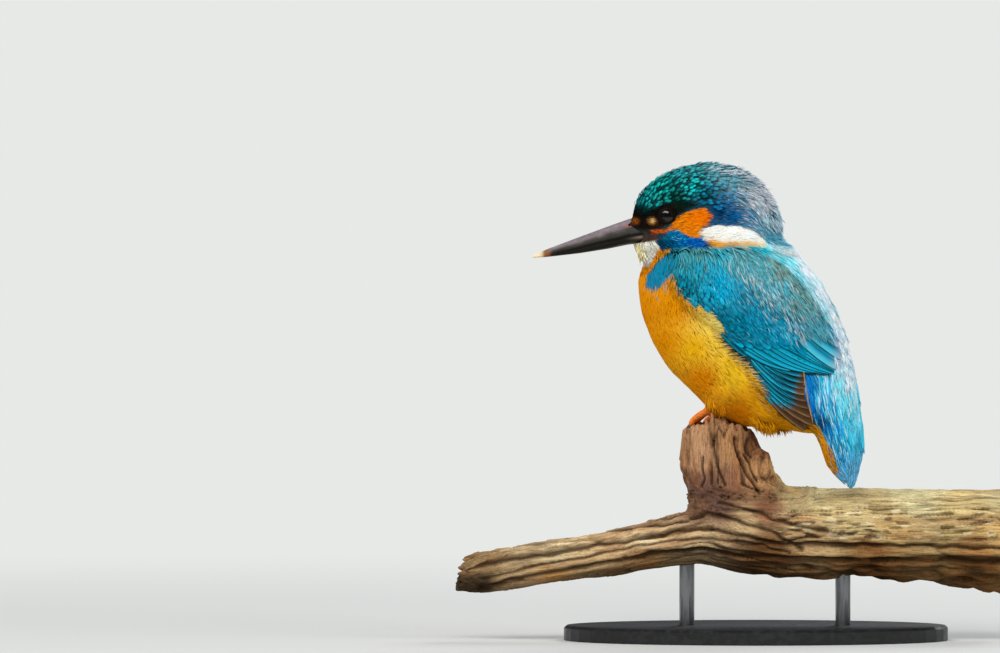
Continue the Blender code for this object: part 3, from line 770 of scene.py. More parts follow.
# %% The rule that colours the whole bird
def markings(places):
    """The bird's colour at each place, in linear light."""
    points, head_share = side_view(places)
    far_side = rising(places[:, 1] / MM, 2, 4) * (1 - head_share)
    points[:, 0] += 2.4 * far_side * rising(points[:, 0], 12, 8)
    wavy = ripple(places, 1.6 * MM, 3) * .35

    def over(base, outline, stops, edge=.35, wave=1, power=3):
        share = 1 - eased(((reach(points, outline) + wavy * wave) / edge + 1) / 2)
        return tinted(base, wash(points, stops, power), share)

    body = wash(points, BREAST_WASH)
    body = over(body, BREAST_SIDE, BREAST_SIDE_WASH)
    body = over(body, WING, MANTLE_WASH, .14)
    body = over(body, STRIPE, STRIPE_WASH, .8)
    body = over(body, UNDERTAIL, UNDERTAIL_WASH)
    head = over(wash(points, CROWN_WASH), LORE, LORE_WASH, .6)
    for across, up, size, paint in SPOTS:
        gap = np.hypot(points[:, 0] - across, (points[:, 1] - up) * 1.15)
        head = tinted(head, paint, 1 - eased(gap / size))
    chin = (points[:, 0] < -9) & (points[:, 1] + np.clip(points[:, 0] + 26, -20, 2) * .35 < 132)
    below = np.where(points[:, :1] > -21 - (131 - points[:, 1:]), wash(points, MANTLE_WASH),
                     wash(points, BREAST_WASH))
    head = np.where(chin[:, None], below, head)
    low = np.where(points[:, 0] > -9, 130.4, 129.4)
    whole = tinted(body, head, rising(points[:, 1], low, 1.5))
    for outline, stops, *edges in (
            (THROAT, THROAT_WASH), (EAR, EAR_WASH), (MALAR, MALAR_WASH),
            (NECK_PATCH, PATCH_WASH, .35, 1, 4), (PATCH_EDGE, PATCH_EDGE_WASH, 1, 2.4),
            (COLLAR, COLLAR_WASH, .5), (BILL_BASE, BILL_BASE_WASH, .2, .3),
            (GAPE, [(-24, 136, 232, 100, 12)], .3, .2)):
        whole = over(whole, outline, stops, *edges)
    return np.clip(whole, 0, 1)


# %% The lie of the coat, as (across, up, way across, way up)
LIE = [
    (-34, 141, .9, .2), (-28.3, 139.3, 1, -.05), (-31.7, 146.7, .55, .83), (-27, 151, .75, .66),
    (-23.3, 154, .9, .45), (-10, 158, 1, 0), (3.3, 153.3, .85, -.5), (9, 148, .6, -.8),
    (12.3, 141.7, .35, -.95), (13.3, 134, .25, -1), (-22, 146, 1, .1), (-1.7, 141.7, 1, -.25),
    (-13.3, 138.3, 1, .14), (-18.3, 133.3, 1, -.22), (0, 135, 1, -.15), (-30, 130.7, .25, -1),
    (-25, 134, .8, -.5), (-29, 123.3, .1, -1), (-22, 124, -.35, -.94), (-26.7, 110, .2, -1),
    (-15, 96.7, .5, -.85), (-6, 86, .6, -.8), (1.7, 80, .75, -.65), (10, 73, .8, -.55),
    (21.7, 68, .85, -.5), (-5, 98, .75, -.6), (-15, 126, .25, -1), (0, 124, .35, -.94),
    (8.3, 120, .5, -.87), (18, 113, .5, -.87), (25, 106.7, .5, -.87), (18.3, 128, .7, -.7),
    (26, 119, .6, -.8), (33, 103, .38, -.93), (38, 88, .2, -1), (38, 78, .1, -1),
    (31.7, 73, .2, -1)]


def lie(places, normals):
    """The way the feathers point at each place, along the surface."""
    points, head_share = side_view(places)
    spots, ways = np.hsplit(np.array(LIE), 2)
    way = blended(points, spots, ways / np.linalg.norm(ways, axis=1)[:, None], 1.5, 4)
    ahead = np.stack([1 + (math.cos(TURN) - 1) * head_share, math.sin(TURN) * head_share], 1)
    found = np.stack([way[:, 0] * ahead[:, 0], way[:, 0] * ahead[:, 1], way[:, 1]], 1)
    found -= normals * np.sum(found * normals, 1)[:, None]
    return found / (np.linalg.norm(found, axis=1)[:, None] + 1e-9)


# %% The skin as a piece
# The skin is painted darker than the feathers over it, as painted shade, so that the gaps
# between them read as depth.
SKIN_PAINTED_SHADE = .55
skin_paint = markings(arrays(skin_mesh)[0]) * SKIN_PAINTED_SHADE
placed(skin_mesh, skin_paint, "skin", SKIN_FINISH, FLESH)
print("skin coloured, mean paint", skin_paint.mean(0).round(2))
# %% [markdown]
# ## The coat
# A small bird's body feathers are so fine that they read as combed hair
# with a soft sheen. Particle hair would be lost in an export, so each
# tuft is a thin closed blade: a few three-cornered rings from a root under
# the coat line to a point. All blades of a piece are worked out together
# as arrays, walk along the coat line by the lie of the feathers, and are
# joined in one mesh.


# %% Unwraps for baking
def unwrapped(places, kind):
    """Where places fall on a flat unwrap of the skin: round the head, round the body, or
    along a wing."""
    x, y, z = places.T
    along = (z - 44 * MM) / (94 * MM)
    if kind == "head":
        x, y, z = head_places(places).T
        turn = np.arctan2(y, z - 141 * MM) / (2 * math.pi) + .5
        along = (x + 34 * MM) / (58 * MM)
    elif kind == "body":
        turn = np.arctan2(y, x - .3 * (.13 - z)) / (2 * math.pi) + .5
    else:
        turn = (x + 28 * MM) / (80 * MM)
    return np.stack([.02 + .96 * np.clip(turn, 0, 1), .02 + .96 * np.clip(along, 0, 1)], 1)


# %% Many blades as one mesh
TUFT = [(-1, 0), (0, 1), (1, 0)]
BLADE = [(-1, 0), (-.55, .7), (0, 1.15), (.55, .7), (1, 0), (0, -.25)]
PATCH = .003


def lay(name, places, tones, flat, baked, finish, nodes, turned=False):
    """One piece of many closed blades. Places and tones are by blade, ring and corner, and
    the last ring is one point. `flat` is the section's width, and `baked` is each root's
    place on the unwrap."""
    count, rings, size = places.shape[:3]
    corners = (rings - 1) * size + 1
    tones = np.clip(tones, 0, 1)
    places = np.concatenate([places[:, :-1].reshape(count, -1, 3), places[:, -1, :1]], 1)
    tones = np.concatenate([tones[:, :-1].reshape(count, -1, 3), tones[:, -1].mean(1)[:, None]], 1)
    vane = np.empty((corners, 2))
    vane[:-1, 0] = np.tile((flat + 1) / 2, rings - 1)
    vane[:-1, 1] = np.repeat(np.arange(rings - 1) / (rings - 1), size)
    vane[-1] = .5, 1
    faces = [list(range(size))]
    for ring in range(rings - 2):
        for edge in range(size):
            a, b = ring * size + edge, ring * size + (edge + 1) % size
            faces.append([b, a, a + size, b + size])
    last = (rings - 2) * size
    faces += [[last + (edge + 1) % size, last + edge, corners - 1] for edge in range(size)]
    if turned:
        faces = [face[::-1] for face in faces]
    of_one = np.array([corner for face in faces for corner in face])
    sizes = np.array([len(face) for face in faces])
    loops = (of_one + np.arange(count)[:, None] * corners).ravel()
    starts = (np.cumsum(sizes) - sizes + np.arange(count)[:, None] * len(of_one)).ravel()
    mesh = bpy.data.meshes.new(name)
    mesh.vertices.add(count * corners)
    mesh.vertices.foreach_set("co", places.ravel())
    mesh.loops.add(len(loops))
    mesh.loops.foreach_set("vertex_index", loops)
    mesh.polygons.add(len(starts))
    mesh.polygons.foreach_set("loop_start", starts)
    mesh.update(calc_edges=True)
    one = vane[of_one]
    for label, map_places in (("Vane", np.tile(one, (count, 1))),
                              ("OFBake", baked[:, None] + (one - .5) * PATCH)):
        layer = mesh.uv_layers.new(name=label)
        layer.data.foreach_set("uv", map_places.astype(np.float32).ravel())
    placed(mesh, tones, name, finish, nodes)


def blades(name, lines, ups, half, rise, paints, section, kind, finish, nodes):
    """One piece of blades along lines. Lines and ups are places and upward directions for
    each ring, half and rise are the half width and the height of the crown of a ring."""
    sides = np.cross(np.gradient(lines, axis=1), ups)
    sides /= np.linalg.norm(sides, axis=2)[..., None] + 1e-12
    flat, high = np.array(section, float).T
    places = (lines[:, :, None] + sides[:, :, None] * (half[:, :, None] * flat)[..., None]
              + ups[:, :, None] * (rise[:, :, None] * high)[..., None])
    if paints.ndim == 3:
        paints = np.repeat(paints[:, :, None], len(section), 2)
    lay(name, places, paints, flat, unwrapped(lines[:, 0], kind), finish, nodes)


# %% Where the tufts are rooted
random = np.random.default_rng(11)
first, second, third = (LINE_PLACES[LINE_FACES[:, k]] for k in range(3))
areas = np.linalg.norm(np.cross(second - first, third - first), axis=1) / 2
ROOTS = 420000
chosen = random.choice(len(areas), ROOTS, p=areas / areas.sum())
mix = random.random((ROOTS, 3))
flip = mix[:, 0] + mix[:, 1] > 1
mix[flip, :2] = 1 - mix[flip, :2]
mix[:, 2] = 1 - mix[:, 0] - mix[:, 1]
ROOT_PLACES = np.einsum("nk,nkd->nd", mix, LINE_PLACES[LINE_FACES[chosen]])
ROOT_NORMALS = np.einsum("nk,nkd->nd", mix, LINE_NORMALS[LINE_FACES[chosen]])
ROOT_NORMALS /= np.linalg.norm(ROOT_NORMALS, axis=1)[:, None]
ROOT_POINTS = side_view(ROOT_PLACES)[0]


def within(outline, margin=0):
    """Which roots lie inside an outline, or no more than a margin outside it."""
    return reach(ROOT_POINTS, outline) < margin


# %% Places left bare: the eyes, the bill and all that is below the tail
EYE_OPENING, BY_THE_BILL, LOWEST = 2.5, .34, 56
face_roots = ROOT_POINTS[:, 1] > 124
by_eye, on_bill, used = np.zeros((3, ROOTS), bool)
by_eye[face_roots] = round_eye(ROOT_PLACES[face_roots]) < EYE_OPENING
on_bill[face_roots] = to_bill(ROOT_PLACES[face_roots]) < BY_THE_BILL
bare = by_eye | (on_bill & ~within(LORE)) | (ROOT_PLACES[:, 2] < LOWEST * MM)
bare |= (ROOT_POINTS[:, 0] < -36.3) | within(BILL_BASE)
print("coat area", round(areas.sum() * 1e6), "square mm, bare places", int(bare.sum()))


def thinned(mask, spacing):
    """One root for each little cube of the given size, out of a mask's roots."""
    picked = np.flatnonzero(mask & ~bare)
    cells = np.floor(ROOT_PLACES[picked] / (spacing * MM)).astype(np.int64)
    key = (cells[:, 0] * 4001 + cells[:, 1]) * 4001 + cells[:, 2]
    _, first = np.unique(key, return_index=True)
    used[picked] = True
    return picked[first]


# %% Combing tufts over the coat line
def combed(roots, length, wander, clump, seed, lift, rings=5, over=0):
    """Centre lines and upward directions of tufts, walked along the lie of the coat."""
    rng = np.random.default_rng(seed)
    count = len(roots)
    long = length * MM * rng.uniform(.75, 1.2, count)
    place, up = ROOT_PLACES[roots], ROOT_NORMALS[roots]
    swerve = rng.normal(0, wander, count) + clump * ripple(place, 2.6 * MM, seed)
    walked, ups = [place], [up]
    for _ in range(rings - 1):
        way = lie(place, up)
        way = way + np.cross(way, up) * swerve[:, None]
        way /= np.linalg.norm(way, axis=1)[:, None]
        place, up = on_line(place + way * (long / (rings - 1))[:, None])
        walked.append(place)
        ups.append(up)
    walked, ups = np.stack(walked, 1), np.stack(ups, 1)
    share = np.linspace(0, 1, rings)
    shape = np.interp(share, [0, .25, .5, .75, 1], [-.85, -.15, .12, .2, .12])
    loft = np.outer(rng.uniform(0, 1, count) ** 2, share ** 1.5) * lift
    waves = ripple(walked[:, 0], 3.4 * MM, seed + 5)[:, None] * .12 * share
    height = (shape + over + loft + waves) * MM
    return walked + ups * height[..., None], ups


IN_ONE_PIECE = 8900


def tufts(name, mask, spacing, length, width, kind, finish, nodes, seed, wander=.1,
          clump=.16, lift=.25, vary=.1, tip=1.12, root=.55, paint=None, over=0, look=.55):
    """Pieces of combed tufts with the bird's own markings, with no more than 200,000
    triangles in one."""
    roots = thinned(mask, spacing)
    rng = np.random.default_rng(seed + 100)
    for part in range(0, len(roots), IN_ONE_PIECE):
        some = roots[part:part + IN_ONE_PIECE]
        lines, ups = combed(some, length, wander, clump, seed + part, lift, over=over)
        count, rings = lines.shape[:2]
        share = np.linspace(0, 1, rings)
        half = np.outer(rng.uniform(.7, 1.25, count),
                        np.interp(share, [0, .3, .7, 1], [.6, 1, .75, 0])) * width * MM / 2
        seen = lines[:, int(rings * look)]
        base = markings(seen) if paint is None else paint(seen, rng)
        tone = np.exp(rng.normal(0, vary, count) + ripple(seen, 2.2 * MM, seed) * vary * .8)
        base = base * tone[:, None]
        # Painted shade: each tuft is darkened toward its root by `root`, and grows brighter toward
        # its tip by `tip`.
        along = np.interp(share, [0, .4, 1], [root, 1, tip])
        paints = base[:, None] * along[None, :, None]
        label = name if part == 0 else f"{name}_{part // IN_ONE_PIECE + 1}"
        blades(label, lines, ups, half, half * .55, paints, TUFT, kind, finish, nodes)
# %% [markdown]
# ## Rump and uppertail
# Below the pale stripe the feathers get long and narrow, and their bright
# tips hang free over the tail, so this piece has wider, longer tufts, and
# each takes one of a few streak colours.


# %% Streaked tufts
def streaked(streaks):
    """A paint rule that gives some tufts a streak colour near its own place. A streak is
    (across, up, size, red, green, blue, how often)."""
    def rule(places, rng):
        base = markings(places)
        points, _ = side_view(places)
        for order, (across, up, size, *paint, often) in enumerate(streaks):
            close = np.exp(-((points[:, 0] - across) ** 2 + (points[:, 1] - up) ** 2) / size ** 2)
            bunch = eased(.5 + 2 * ripple(places, 1.3 * MM, 200 + order))
            picked = rng.random(len(points)) < 1.6 * often * close * bunch
            strength = rng.uniform(.35, .95, picked.sum())
            base[picked] = tinted(base[picked], tuple(paint), strength)
        return base
    return rule


# In the rump, stripe, nape and mantle lists below, the white, lilac and pale grey streaks are
# painted sheen on blue feathers.
RUMP_STREAKS = [
    (31, 84, 4, 200, 238, 244, .5), (31, 76, 5, 120, 214, 236, .35), (37, 78, 6, 0, 186, 216, .4),
    (33, 68, 6, 120, 200, 226, .3), (40, 82, 6, 190, 222, 232, .3), (25, 80, 4, 0, 100, 190, .4),
    (37, 88, 5, 214, 226, 236, .4), (38, 66, 6, 40, 170, 206, .3)]
STRIPE_STREAKS = [
    (28, 110, 14, 250, 248, 250, .6), (30, 106, 14, 226, 214, 226, .3),
    (20, 122, 8, 120, 226, 240, .25), (34, 98, 10, 170, 220, 232, .3)]
NAPE_STREAKS = [
    (8, 146, 7, 236, 228, 234, .36), (5, 148, 5, 222, 204, 212, .3), (9, 138, 7, 190, 214, 224, .3),
    (3, 150, 8, 40, 92, 100, .2), (9, 142, 9, 50, 64, 76, .18), (1, 142, 5, 0, 116, 180, .5),
    (10, 136.6, 3.5, 20, 130, 160, .3)]
CROWN_STREAKS = [
    (-12, 157, 5, 112, 116, 122, .5), (-2, 155, 5, 150, 170, 176, .4), (-4, 150, 5, 30, 60, 80, .4)]
MANTLE_STREAKS = [
    (12, 112, 8, 206, 200, 200, .3), (16, 108, 8, 170, 190, 184, .3),
    (18, 118, 8, 176, 166, 156, .3), (24, 108, 8, 150, 150, 150, .25),
    (4, 124, 8, 150, 210, 214, .3), (8, 112, 9, 40, 200, 226, .28), (-9, 124, 7, 80, 206, 220, .25),
    (14, 116, 12, 10, 60, 72, .24), (-2, 116, 8, 0, 156, 212, .4), (5, 118, 7, 130, 180, 190, .25),
    (-10, 127, 8, 120, 170, 160, .25), (-14, 119, 7, 0, 70, 96, .3), (26, 106, 7, 90, 170, 180, .3)]
# The first two malar streaks, pale cyan and bright blue, are painted glints.
MALAR_STREAKS = [
    (-22, 135, 2.5, 120, 220, 240, .45), (-18, 133.4, 3, 20, 180, 240, .45),
    (-23.4, 132, 2.5, 0, 84, 100, .4), (-13, 132.4, 3, 40, 140, 246, .3)]
# The rare pale cyan covert streak, (110, 216, 236), is a painted glint.
COVERT_STREAKS = [
    (-12, 114, 8, 0, 170, 208, .3), (-12, 116, 10, 0, 60, 84, .4), (-2, 108, 8, 0, 86, 112, .4),
    (2, 108, 9, 10, 166, 204, .25), (10, 106, 8, 0, 150, 190, .35),
    (-6, 112, 8, 110, 216, 236, .07), (14, 104, 8, 110, 196, 214, .25),
    (12, 108, 6, 40, 60, 80, .15)]
# %% [markdown]
# ## Tufts by region
# The smallest tufts are on the face, and the longest on the flanks and
# the rump, where they hang over their neighbours. Each region is its own
# piece, so that it can have its own spacing, length and loft.

# %% Regions of the coat
across, up = ROOT_POINTS.T
in_wing = within(WING)
in_stripe = within(STRIPE)
on_head = up > 129.6
rows_top = np.interp(across, [-20, -8, -4, 8, 14, 18, 22, 27, 36],
                     [106, 103, 101.6, 101, 101.2, 102.4, 104.2, 102.8, 101.8])
at_side = np.abs(ROOT_PLACES[:, 1]) > 6 * MM
wing_blade = in_wing & ~in_stripe & (up < rows_top) & at_side
shoulder = in_wing & ~in_stripe & ~wing_blade & (
    up < np.interp(across, [-20, -14, -6, 0, 6, 12, 17], [126, 122, 116, 114, 112, 108, 103]))
shoulder &= within(WING, -1.6) | (up > 118)
in_ear = within(EAR, .2)
in_lore = within(LORE, .3)
in_malar = within(MALAR, .2)
in_patch = within(NECK_PATCH, .3)
in_throat = within(THROAT, 1) & ~in_malar
in_gape = within(GAPE, .2)

BODY = ["neck", "trunk"]
tufts("lore", on_head & (in_lore | in_gape) & ~in_ear, .34, 1.9, .26, "head", DOWN_FINISH,
      ["head"], seed=21, lift=.15)
tufts("ear_patch", on_head & in_ear, .42, 3.6, .42, "head", DOWN_FINISH,
      ["head"], seed=22, lift=.2, root=.92, tip=1.1)
tufts("malar", on_head & in_malar, .38, 2.4, .36, "head", SHINE_FINISH, ["head"],
      seed=23, vary=.2, lift=.5, paint=streaked(MALAR_STREAKS))
tufts("neck_patch", on_head & in_patch, .43, 4.2, .6, "head", DOWN_FINISH,
      ["head", "neck"], seed=24, lift=.08, vary=.01, root=1, tip=1, clump=.05, wander=.05)
tufts("throat", in_throat & (up > 124), .44, 3.2, .36, "head", DOWN_FINISH,
      ["head", "neck"], seed=25, vary=.03, root=.95, tip=1.02)
nape = on_head & (across > -2) & ~in_patch
crown = on_head & ~(in_ear | in_lore | in_malar | in_patch | in_throat | in_gape | nape)
tufts("crown", crown & (up > 130), .5, 3, .4, "head", SHINE_FINISH, ["head"],
      seed=26, vary=.22, paint=streaked(CROWN_STREAKS))
tufts("nape", nape, .6, 4.8, .42, "head", SHINE_FINISH, ["head", "neck"],
      seed=27, vary=.12, lift=1.5, clump=.12, tip=1.25, paint=streaked(NAPE_STREAKS))
wing_front = within(WING, 1) & (across > 6) & (across < 17) & at_side
front = (np.abs(ROOT_PLACES[:, 1]) < 6 * MM) & (ROOT_PLACES[:, 0] < .01)
body = ~(on_head | in_throat | wing_front | in_stripe) & (ROOT_PLACES[:, 2] > 66 * MM)
body &= ~in_wing | front
tufts("breast", body & (up > 98), .6, 6, .7, "body", DOWN_FINISH, BODY,
      seed=28, lift=.12, vary=.04, root=.96, tip=1.02, clump=.1, wander=.05,
      paint=streaked([(-26, 119.6, 2.6, 10, 160, 214, .4), (-23, 125, 3, 0, 110, 150, .3)]))
tufts("belly", body & (up <= 98), .62, 7, .62, "body", DOWN_FINISH, BODY,
      seed=29, lift=.2, vary=.06, root=.9, tip=1.04, clump=.1, wander=.06)
mantle = ~on_head & in_wing & ~wing_blade & ~in_stripe & ~body & ~shoulder
tufts("mantle", mantle, .58, 5.4, .4, "wing", SHINE_FINISH,
      ["trunk", "wing_left", "wing_right"], seed=30, vary=.18, lift=.8, tip=1.25, root=.5,
      over=.2, clump=.24, paint=streaked(MANTLE_STREAKS))
tufts("shoulder", shoulder & ~on_head & ~body, .58, 4.4, .55, "wing", SHINE_FINISH,
      ["wing_left", "wing_right"], seed=34, vary=.18, lift=.3, tip=1.25, root=.5, over=.45, look=.2,
      paint=streaked(COVERT_STREAKS))
low_back = in_stripe & (up < 92)
tufts("back_stripe", ~on_head & in_stripe & ~low_back, .62, 6.8, .56, "body", SHINE_FINISH,
      ["trunk"], seed=31, vary=.08, lift=.45, root=.7,
      paint=streaked(STRIPE_STREAKS))
undertail = (ROOT_NORMALS[:, 0] < -.1) & (up < 70) & (across > 20) | within(UNDERTAIL, .2)
tufts("rump", low_back & ~undertail, .74, 9, .66, "body", SHINE_FINISH,
      ["trunk", "tail"], seed=32, vary=.07, lift=.4, root=.8, wander=.04, clump=.06,
      paint=streaked(RUMP_STREAKS))
tufts("undertail", undertail, .62, 5.5, .46, "body", DOWN_FINISH,
      ["trunk", "tail"], seed=33, lift=.3)
print("roots not combed outside the wings:", int((~used & ~bare & ~in_wing).sum()))
# %% [markdown]
# ## Spotted feathers
# The feathers of the crown and the front of the wing are short and wide,
# dark with a bright drop near the tip. They are wider blades with more
# rings, laid over the fine tufts, and each carries its own drop of paint.


# %% Short wide feathers with a bright drop
def scales(name, mask, spacing, length, width, kind, nodes, drop, seed, heights,
           lift=.25, spread=.62, ground=1, chance=1, look=5):
    """A piece of short wide feathers. `drop` gives the bright paint for each place."""
    roots = thinned(mask, spacing)
    rng = np.random.default_rng(seed)
    roots = roots[rng.random(len(roots)) < chance]
    lines, ups = combed(roots, length, .05, .1, seed, lift, rings=8)
    lines = lines + ups * heights * MM
    count, rings = lines.shape[:2]
    share = np.linspace(0, 1, rings)
    profile = np.interp(share, [0, .25, .6, .8, .92, 1], [.4, .8, 1, .86, .55, 0])
    half = np.outer(rng.uniform(.85, 1.15, count), profile) * width * MM / 2
    seen = lines[:, look]
    dark = markings(seen) * ground * toned(rng, .15, count)
    bright = drop(seen, rng)
    across = np.abs(np.array(BLADE)[:, 0])
    spot = (np.interp(share, [0, .42, .62, .86, 1], [0, 0, 1, 1, .35])[:, None]
            * np.interp(across, [0, spread, 1], [1, .55, .12]))[None, ..., None]
    paints = dark[:, None, None] * (1 - spot) + bright[:, None, None] * spot
    blades(name, lines, ups, half, half * .22, paints, BLADE, kind,
           SHINE_FINISH, nodes)


CROWN_DROPS = [
    (-33, 144, 16, 130, 130), (-30, 150, 20, 170, 170), (-24, 151, 16, 190, 180),
    (-18, 156, 40, 164, 174), (-14, 151, 14, 196, 196), (-8, 149, 10, 140, 176),
    (-11, 146, 0, 104, 140), (-6, 156, 84, 150, 160), (-3, 146, 0, 96, 156), (2, 150, 60, 136, 156),
    (-20, 148, 6, 110, 100)]
LESSER_DROPS = [
    (-18, 122, 0, 140, 170), (-13, 114, 0, 150, 180), (-8, 110, 0, 112, 140),
    (-12, 122, 0, 156, 192), (-4, 106, 0, 124, 152)]


def drops(stops, spread, low=-9, high=9):
    """A paint rule for bright drops, with a limited spread from dim to bright."""
    def rule(places, rng):
        tone = np.exp(np.clip(rng.normal(0, spread, len(places)), low, high))
        return wash(side_view(places)[0], stops) * tone[:, None]
    return rule


spotted = crown & (up > 143.2 + np.clip(across + 8, 0, 9) * .55) & (across < -1.5)
spotted &= ~within(EAR, 1.4)
scales("crown_spots", spotted, 1.55, 3.1, 1.35, "head", ["head"],
       drops(CROWN_DROPS, .45, -1.2, .3), 41, .22, lift=.7)
LESSER = [
    (-20.2, 124.6), (-19.2, 118.2), (-16.4, 113.8), (-9, 110), (-6, 106), (-1, 104), (0, 110),
    (-6, 115), (-11, 123)]
lesser = within(LESSER) & within(WING, -1.3) & ~on_head
scales("lesser_coverts", lesser, 1.7, 3.4, 1.3, "wing", ["wing_left", "wing_right"],
       drops(LESSER_DROPS, .3), 42, .74, spread=.5, chance=.62, ground=.9, look=1)
# %% [markdown]
# ## The wings
# A folded wing is a stack of long vanes: the primaries lowest, the
# secondaries over them, and the tertials on top, with the coverts laid
# over all their roots like tiles. Each row is a fan: rails give the lower
# edge of its first and last feather, and the rest are spaced between. A
# smooth sheet through the solid's outer face holds every vane at its own
# height over the wing, and the other wing is a mirrored copy.

# %% The sheet through the wing's outer face
# The sheet is a grid of depths, one for each millimetre across and up. A
# place with no solid takes the mean of its neighbours, again and again.
WING_TREE = BVHTree.FromBMesh(joined(["wing_left"]))
GRID_LOW, GRID_SIZE = np.array([-26, 62]), (68, 74)
OUTSIDE = TOWARDS * .2


def met(tree, at, high):
    """Where a ray from the show side meets a solid, and its normal there."""
    return tree.ray_cast(ACROSS * at + Vector((0, 0, high)) + OUTSIDE, -TOWARDS)[:2]


def around(grid):
    """The mean of the four neighbours of each place of a grid."""
    wide = np.pad(grid, 1, mode="edge")
    return (wide[2:, 1:-1] + wide[:-2, 1:-1] + wide[1:-1, 2:] + wide[1:-1, :-2]) / 4


sheet_depth = np.full(GRID_SIZE, np.nan)
for place in np.ndindex(GRID_SIZE):
    at, high = (GRID_LOW + place) * MM
    hit, normal = met(WING_TREE, at, high)
    if hit is not None and normal.dot(TOWARDS) > .55:
        sheet_depth[place] = hit.dot(TOWARDS)
        continue
    hit, _ = met(LINE, at, high)
    if hit is not None and at > 24 * MM and high > 86 * MM:
        sheet_depth[place] = hit.dot(TOWARDS) + .2 * MM
known = ~np.isnan(sheet_depth)
SHEET = np.where(known, sheet_depth, np.nanmean(sheet_depth))
for _ in range(400):
    SHEET = np.where(known, sheet_depth, around(SHEET))
for _ in range(6):
    SHEET = (around(SHEET) + SHEET) / 2
print("wing sheet from", int(known.sum()), "places on the solid")


def on_sheet(points, lift):
    """Places on the left wing's sheet, from millimetres across and up, and a lift."""
    grid = np.clip(points - GRID_LOW, 0, np.array(GRID_SIZE) - 1.001)
    low = grid.astype(int)
    part = grid - low
    i, j, s, t = low[..., 0], low[..., 1], part[..., 0], part[..., 1]
    depth = (SHEET[i, j] * (1 - s) * (1 - t) + SHEET[i + 1, j] * s * (1 - t)
             + SHEET[i, j + 1] * (1 - s) * t + SHEET[i + 1, j + 1] * s * t) + lift * MM
    return (points[..., :1] * MM * RIGHT + depth[..., None] * NEAR
            + points[..., 1:] * MM * np.array([0, 0, 1]))


# %% A fan of vanes between rails
VANE = [
    (-1, 0), (-.8, .2), (-.45, .45), (-.12, .6), (0, 1), (.12, .6), (.45, .45), (.8, .2), (1, 0),
    (.6, -.45), (0, -.7), (-.6, -.45)]


def rails(vanes, count):
    """Root, bend and tip places spaced evenly by number along the rails."""
    share = np.linspace(0, len(vanes) - 1, count)
    columns = [np.interp(share, range(len(vanes)), column) for column in np.array(vanes, float).T]
    return np.stack(columns, 1).reshape(count, 3, 2).transpose(1, 0, 2)


VANE_RINGS, VANE_RISE, ROOT_SINKS = 16, .1, .5


def fan(name, count, vanes, width, lift, paint, tilt=.05, blunt=.8, seed=5, split=0, hidden=0):
    """A row of vanes on both wings. Each of `vanes` gives a lower edge: across and up for its
    root, its bend and its tip."""
    rng = np.random.default_rng(seed)
    order = np.linspace(0, 1, count)
    root, bend, tip = rails(vanes, count)
    start = bend - root
    root = root - start / np.linalg.norm(start, axis=1)[:, None] * hidden
    root, tip = root + rng.normal(0, .12, root.shape), tip + rng.normal(0, .12, tip.shape)
    share = 1 - (1 - np.linspace(0, 1, VANE_RINGS)) ** 1.5
    s = share[None, :, None]
    edge = (root[:, None] * (1 - s) ** 2 + 2 * (2 * bend - (root + tip) / 2)[:, None] * s * (1 - s)
            + tip[:, None] * s ** 2)
    way = np.gradient(edge, axis=1)
    way /= np.linalg.norm(way, axis=2)[..., None]
    inward = np.stack([-way[..., 1], way[..., 0]], 2)
    inward *= np.sign(inward[:, :1, 1:])
    end = np.clip((share - blunt) / (1 - blunt), 0, 1)
    profile = np.interp(share, [0, .3, blunt], [.7, 1, 1]) * np.sqrt(np.clip(1 - end ** 2.2, 0, 1))
    wide = np.interp(order, np.linspace(0, 1, len(width)), width)[:, None]
    flat, high = np.array(VANE, float).T
    ragged = rng.normal(0, split, (count, VANE_RINGS, 1)) * (np.abs(flat) > .9)
    inset = wide / 2 * np.interp(share, [0, .3, 1], [.7, 1, 1]) * (1 - .5 * end ** 2)
    half = (wide * profile / 2)[:, :, None] * (1 + ragged) * flat
    points = (edge + inward * inset[..., None])[:, :, None] - inward[:, :, None] * half[..., None]
    height = (np.linspace(*lift, count)[:, None, None] + tilt * flat[None, None]
              + high * VANE_RISE * profile[None, :, None]
              - ROOT_SINKS * (1 - eased(share * 5))[None, :, None])
    places = on_sheet(points, height)
    places[:, -1] = places[:, -1].mean(1, keepdims=True)
    tones = paint(order, share, flat, rng, points)
    for side, mirror in (("left", 1), ("right", -1)):
        lay(f"{name}_{side}", places * [1, mirror, 1], tones, flat,
            unwrapped(places[:, 0, 4], "wing"), VANE_FINISH, ["wing_" + side],
            turned=mirror > 0)
# %% [markdown]
# ## The rows of the wing
# The paint of a vane changes across it: the open outer edge is bright, the
# covered edge and a thin line along the open edge are painted dark, as
# painted shadow between overlapping vanes, and the primaries turn brown
# toward their pale tips.


# %% Paint for each row
def grade(paints, stops, at):
    """Paint between stops along a value, as an array one longer than the value's."""
    stops = np.array(stops, float)
    colours = np.array([colour(*paint) for paint in paints])
    return np.stack([np.interp(at, stops, colours[:, k]) for k in range(3)], -1)


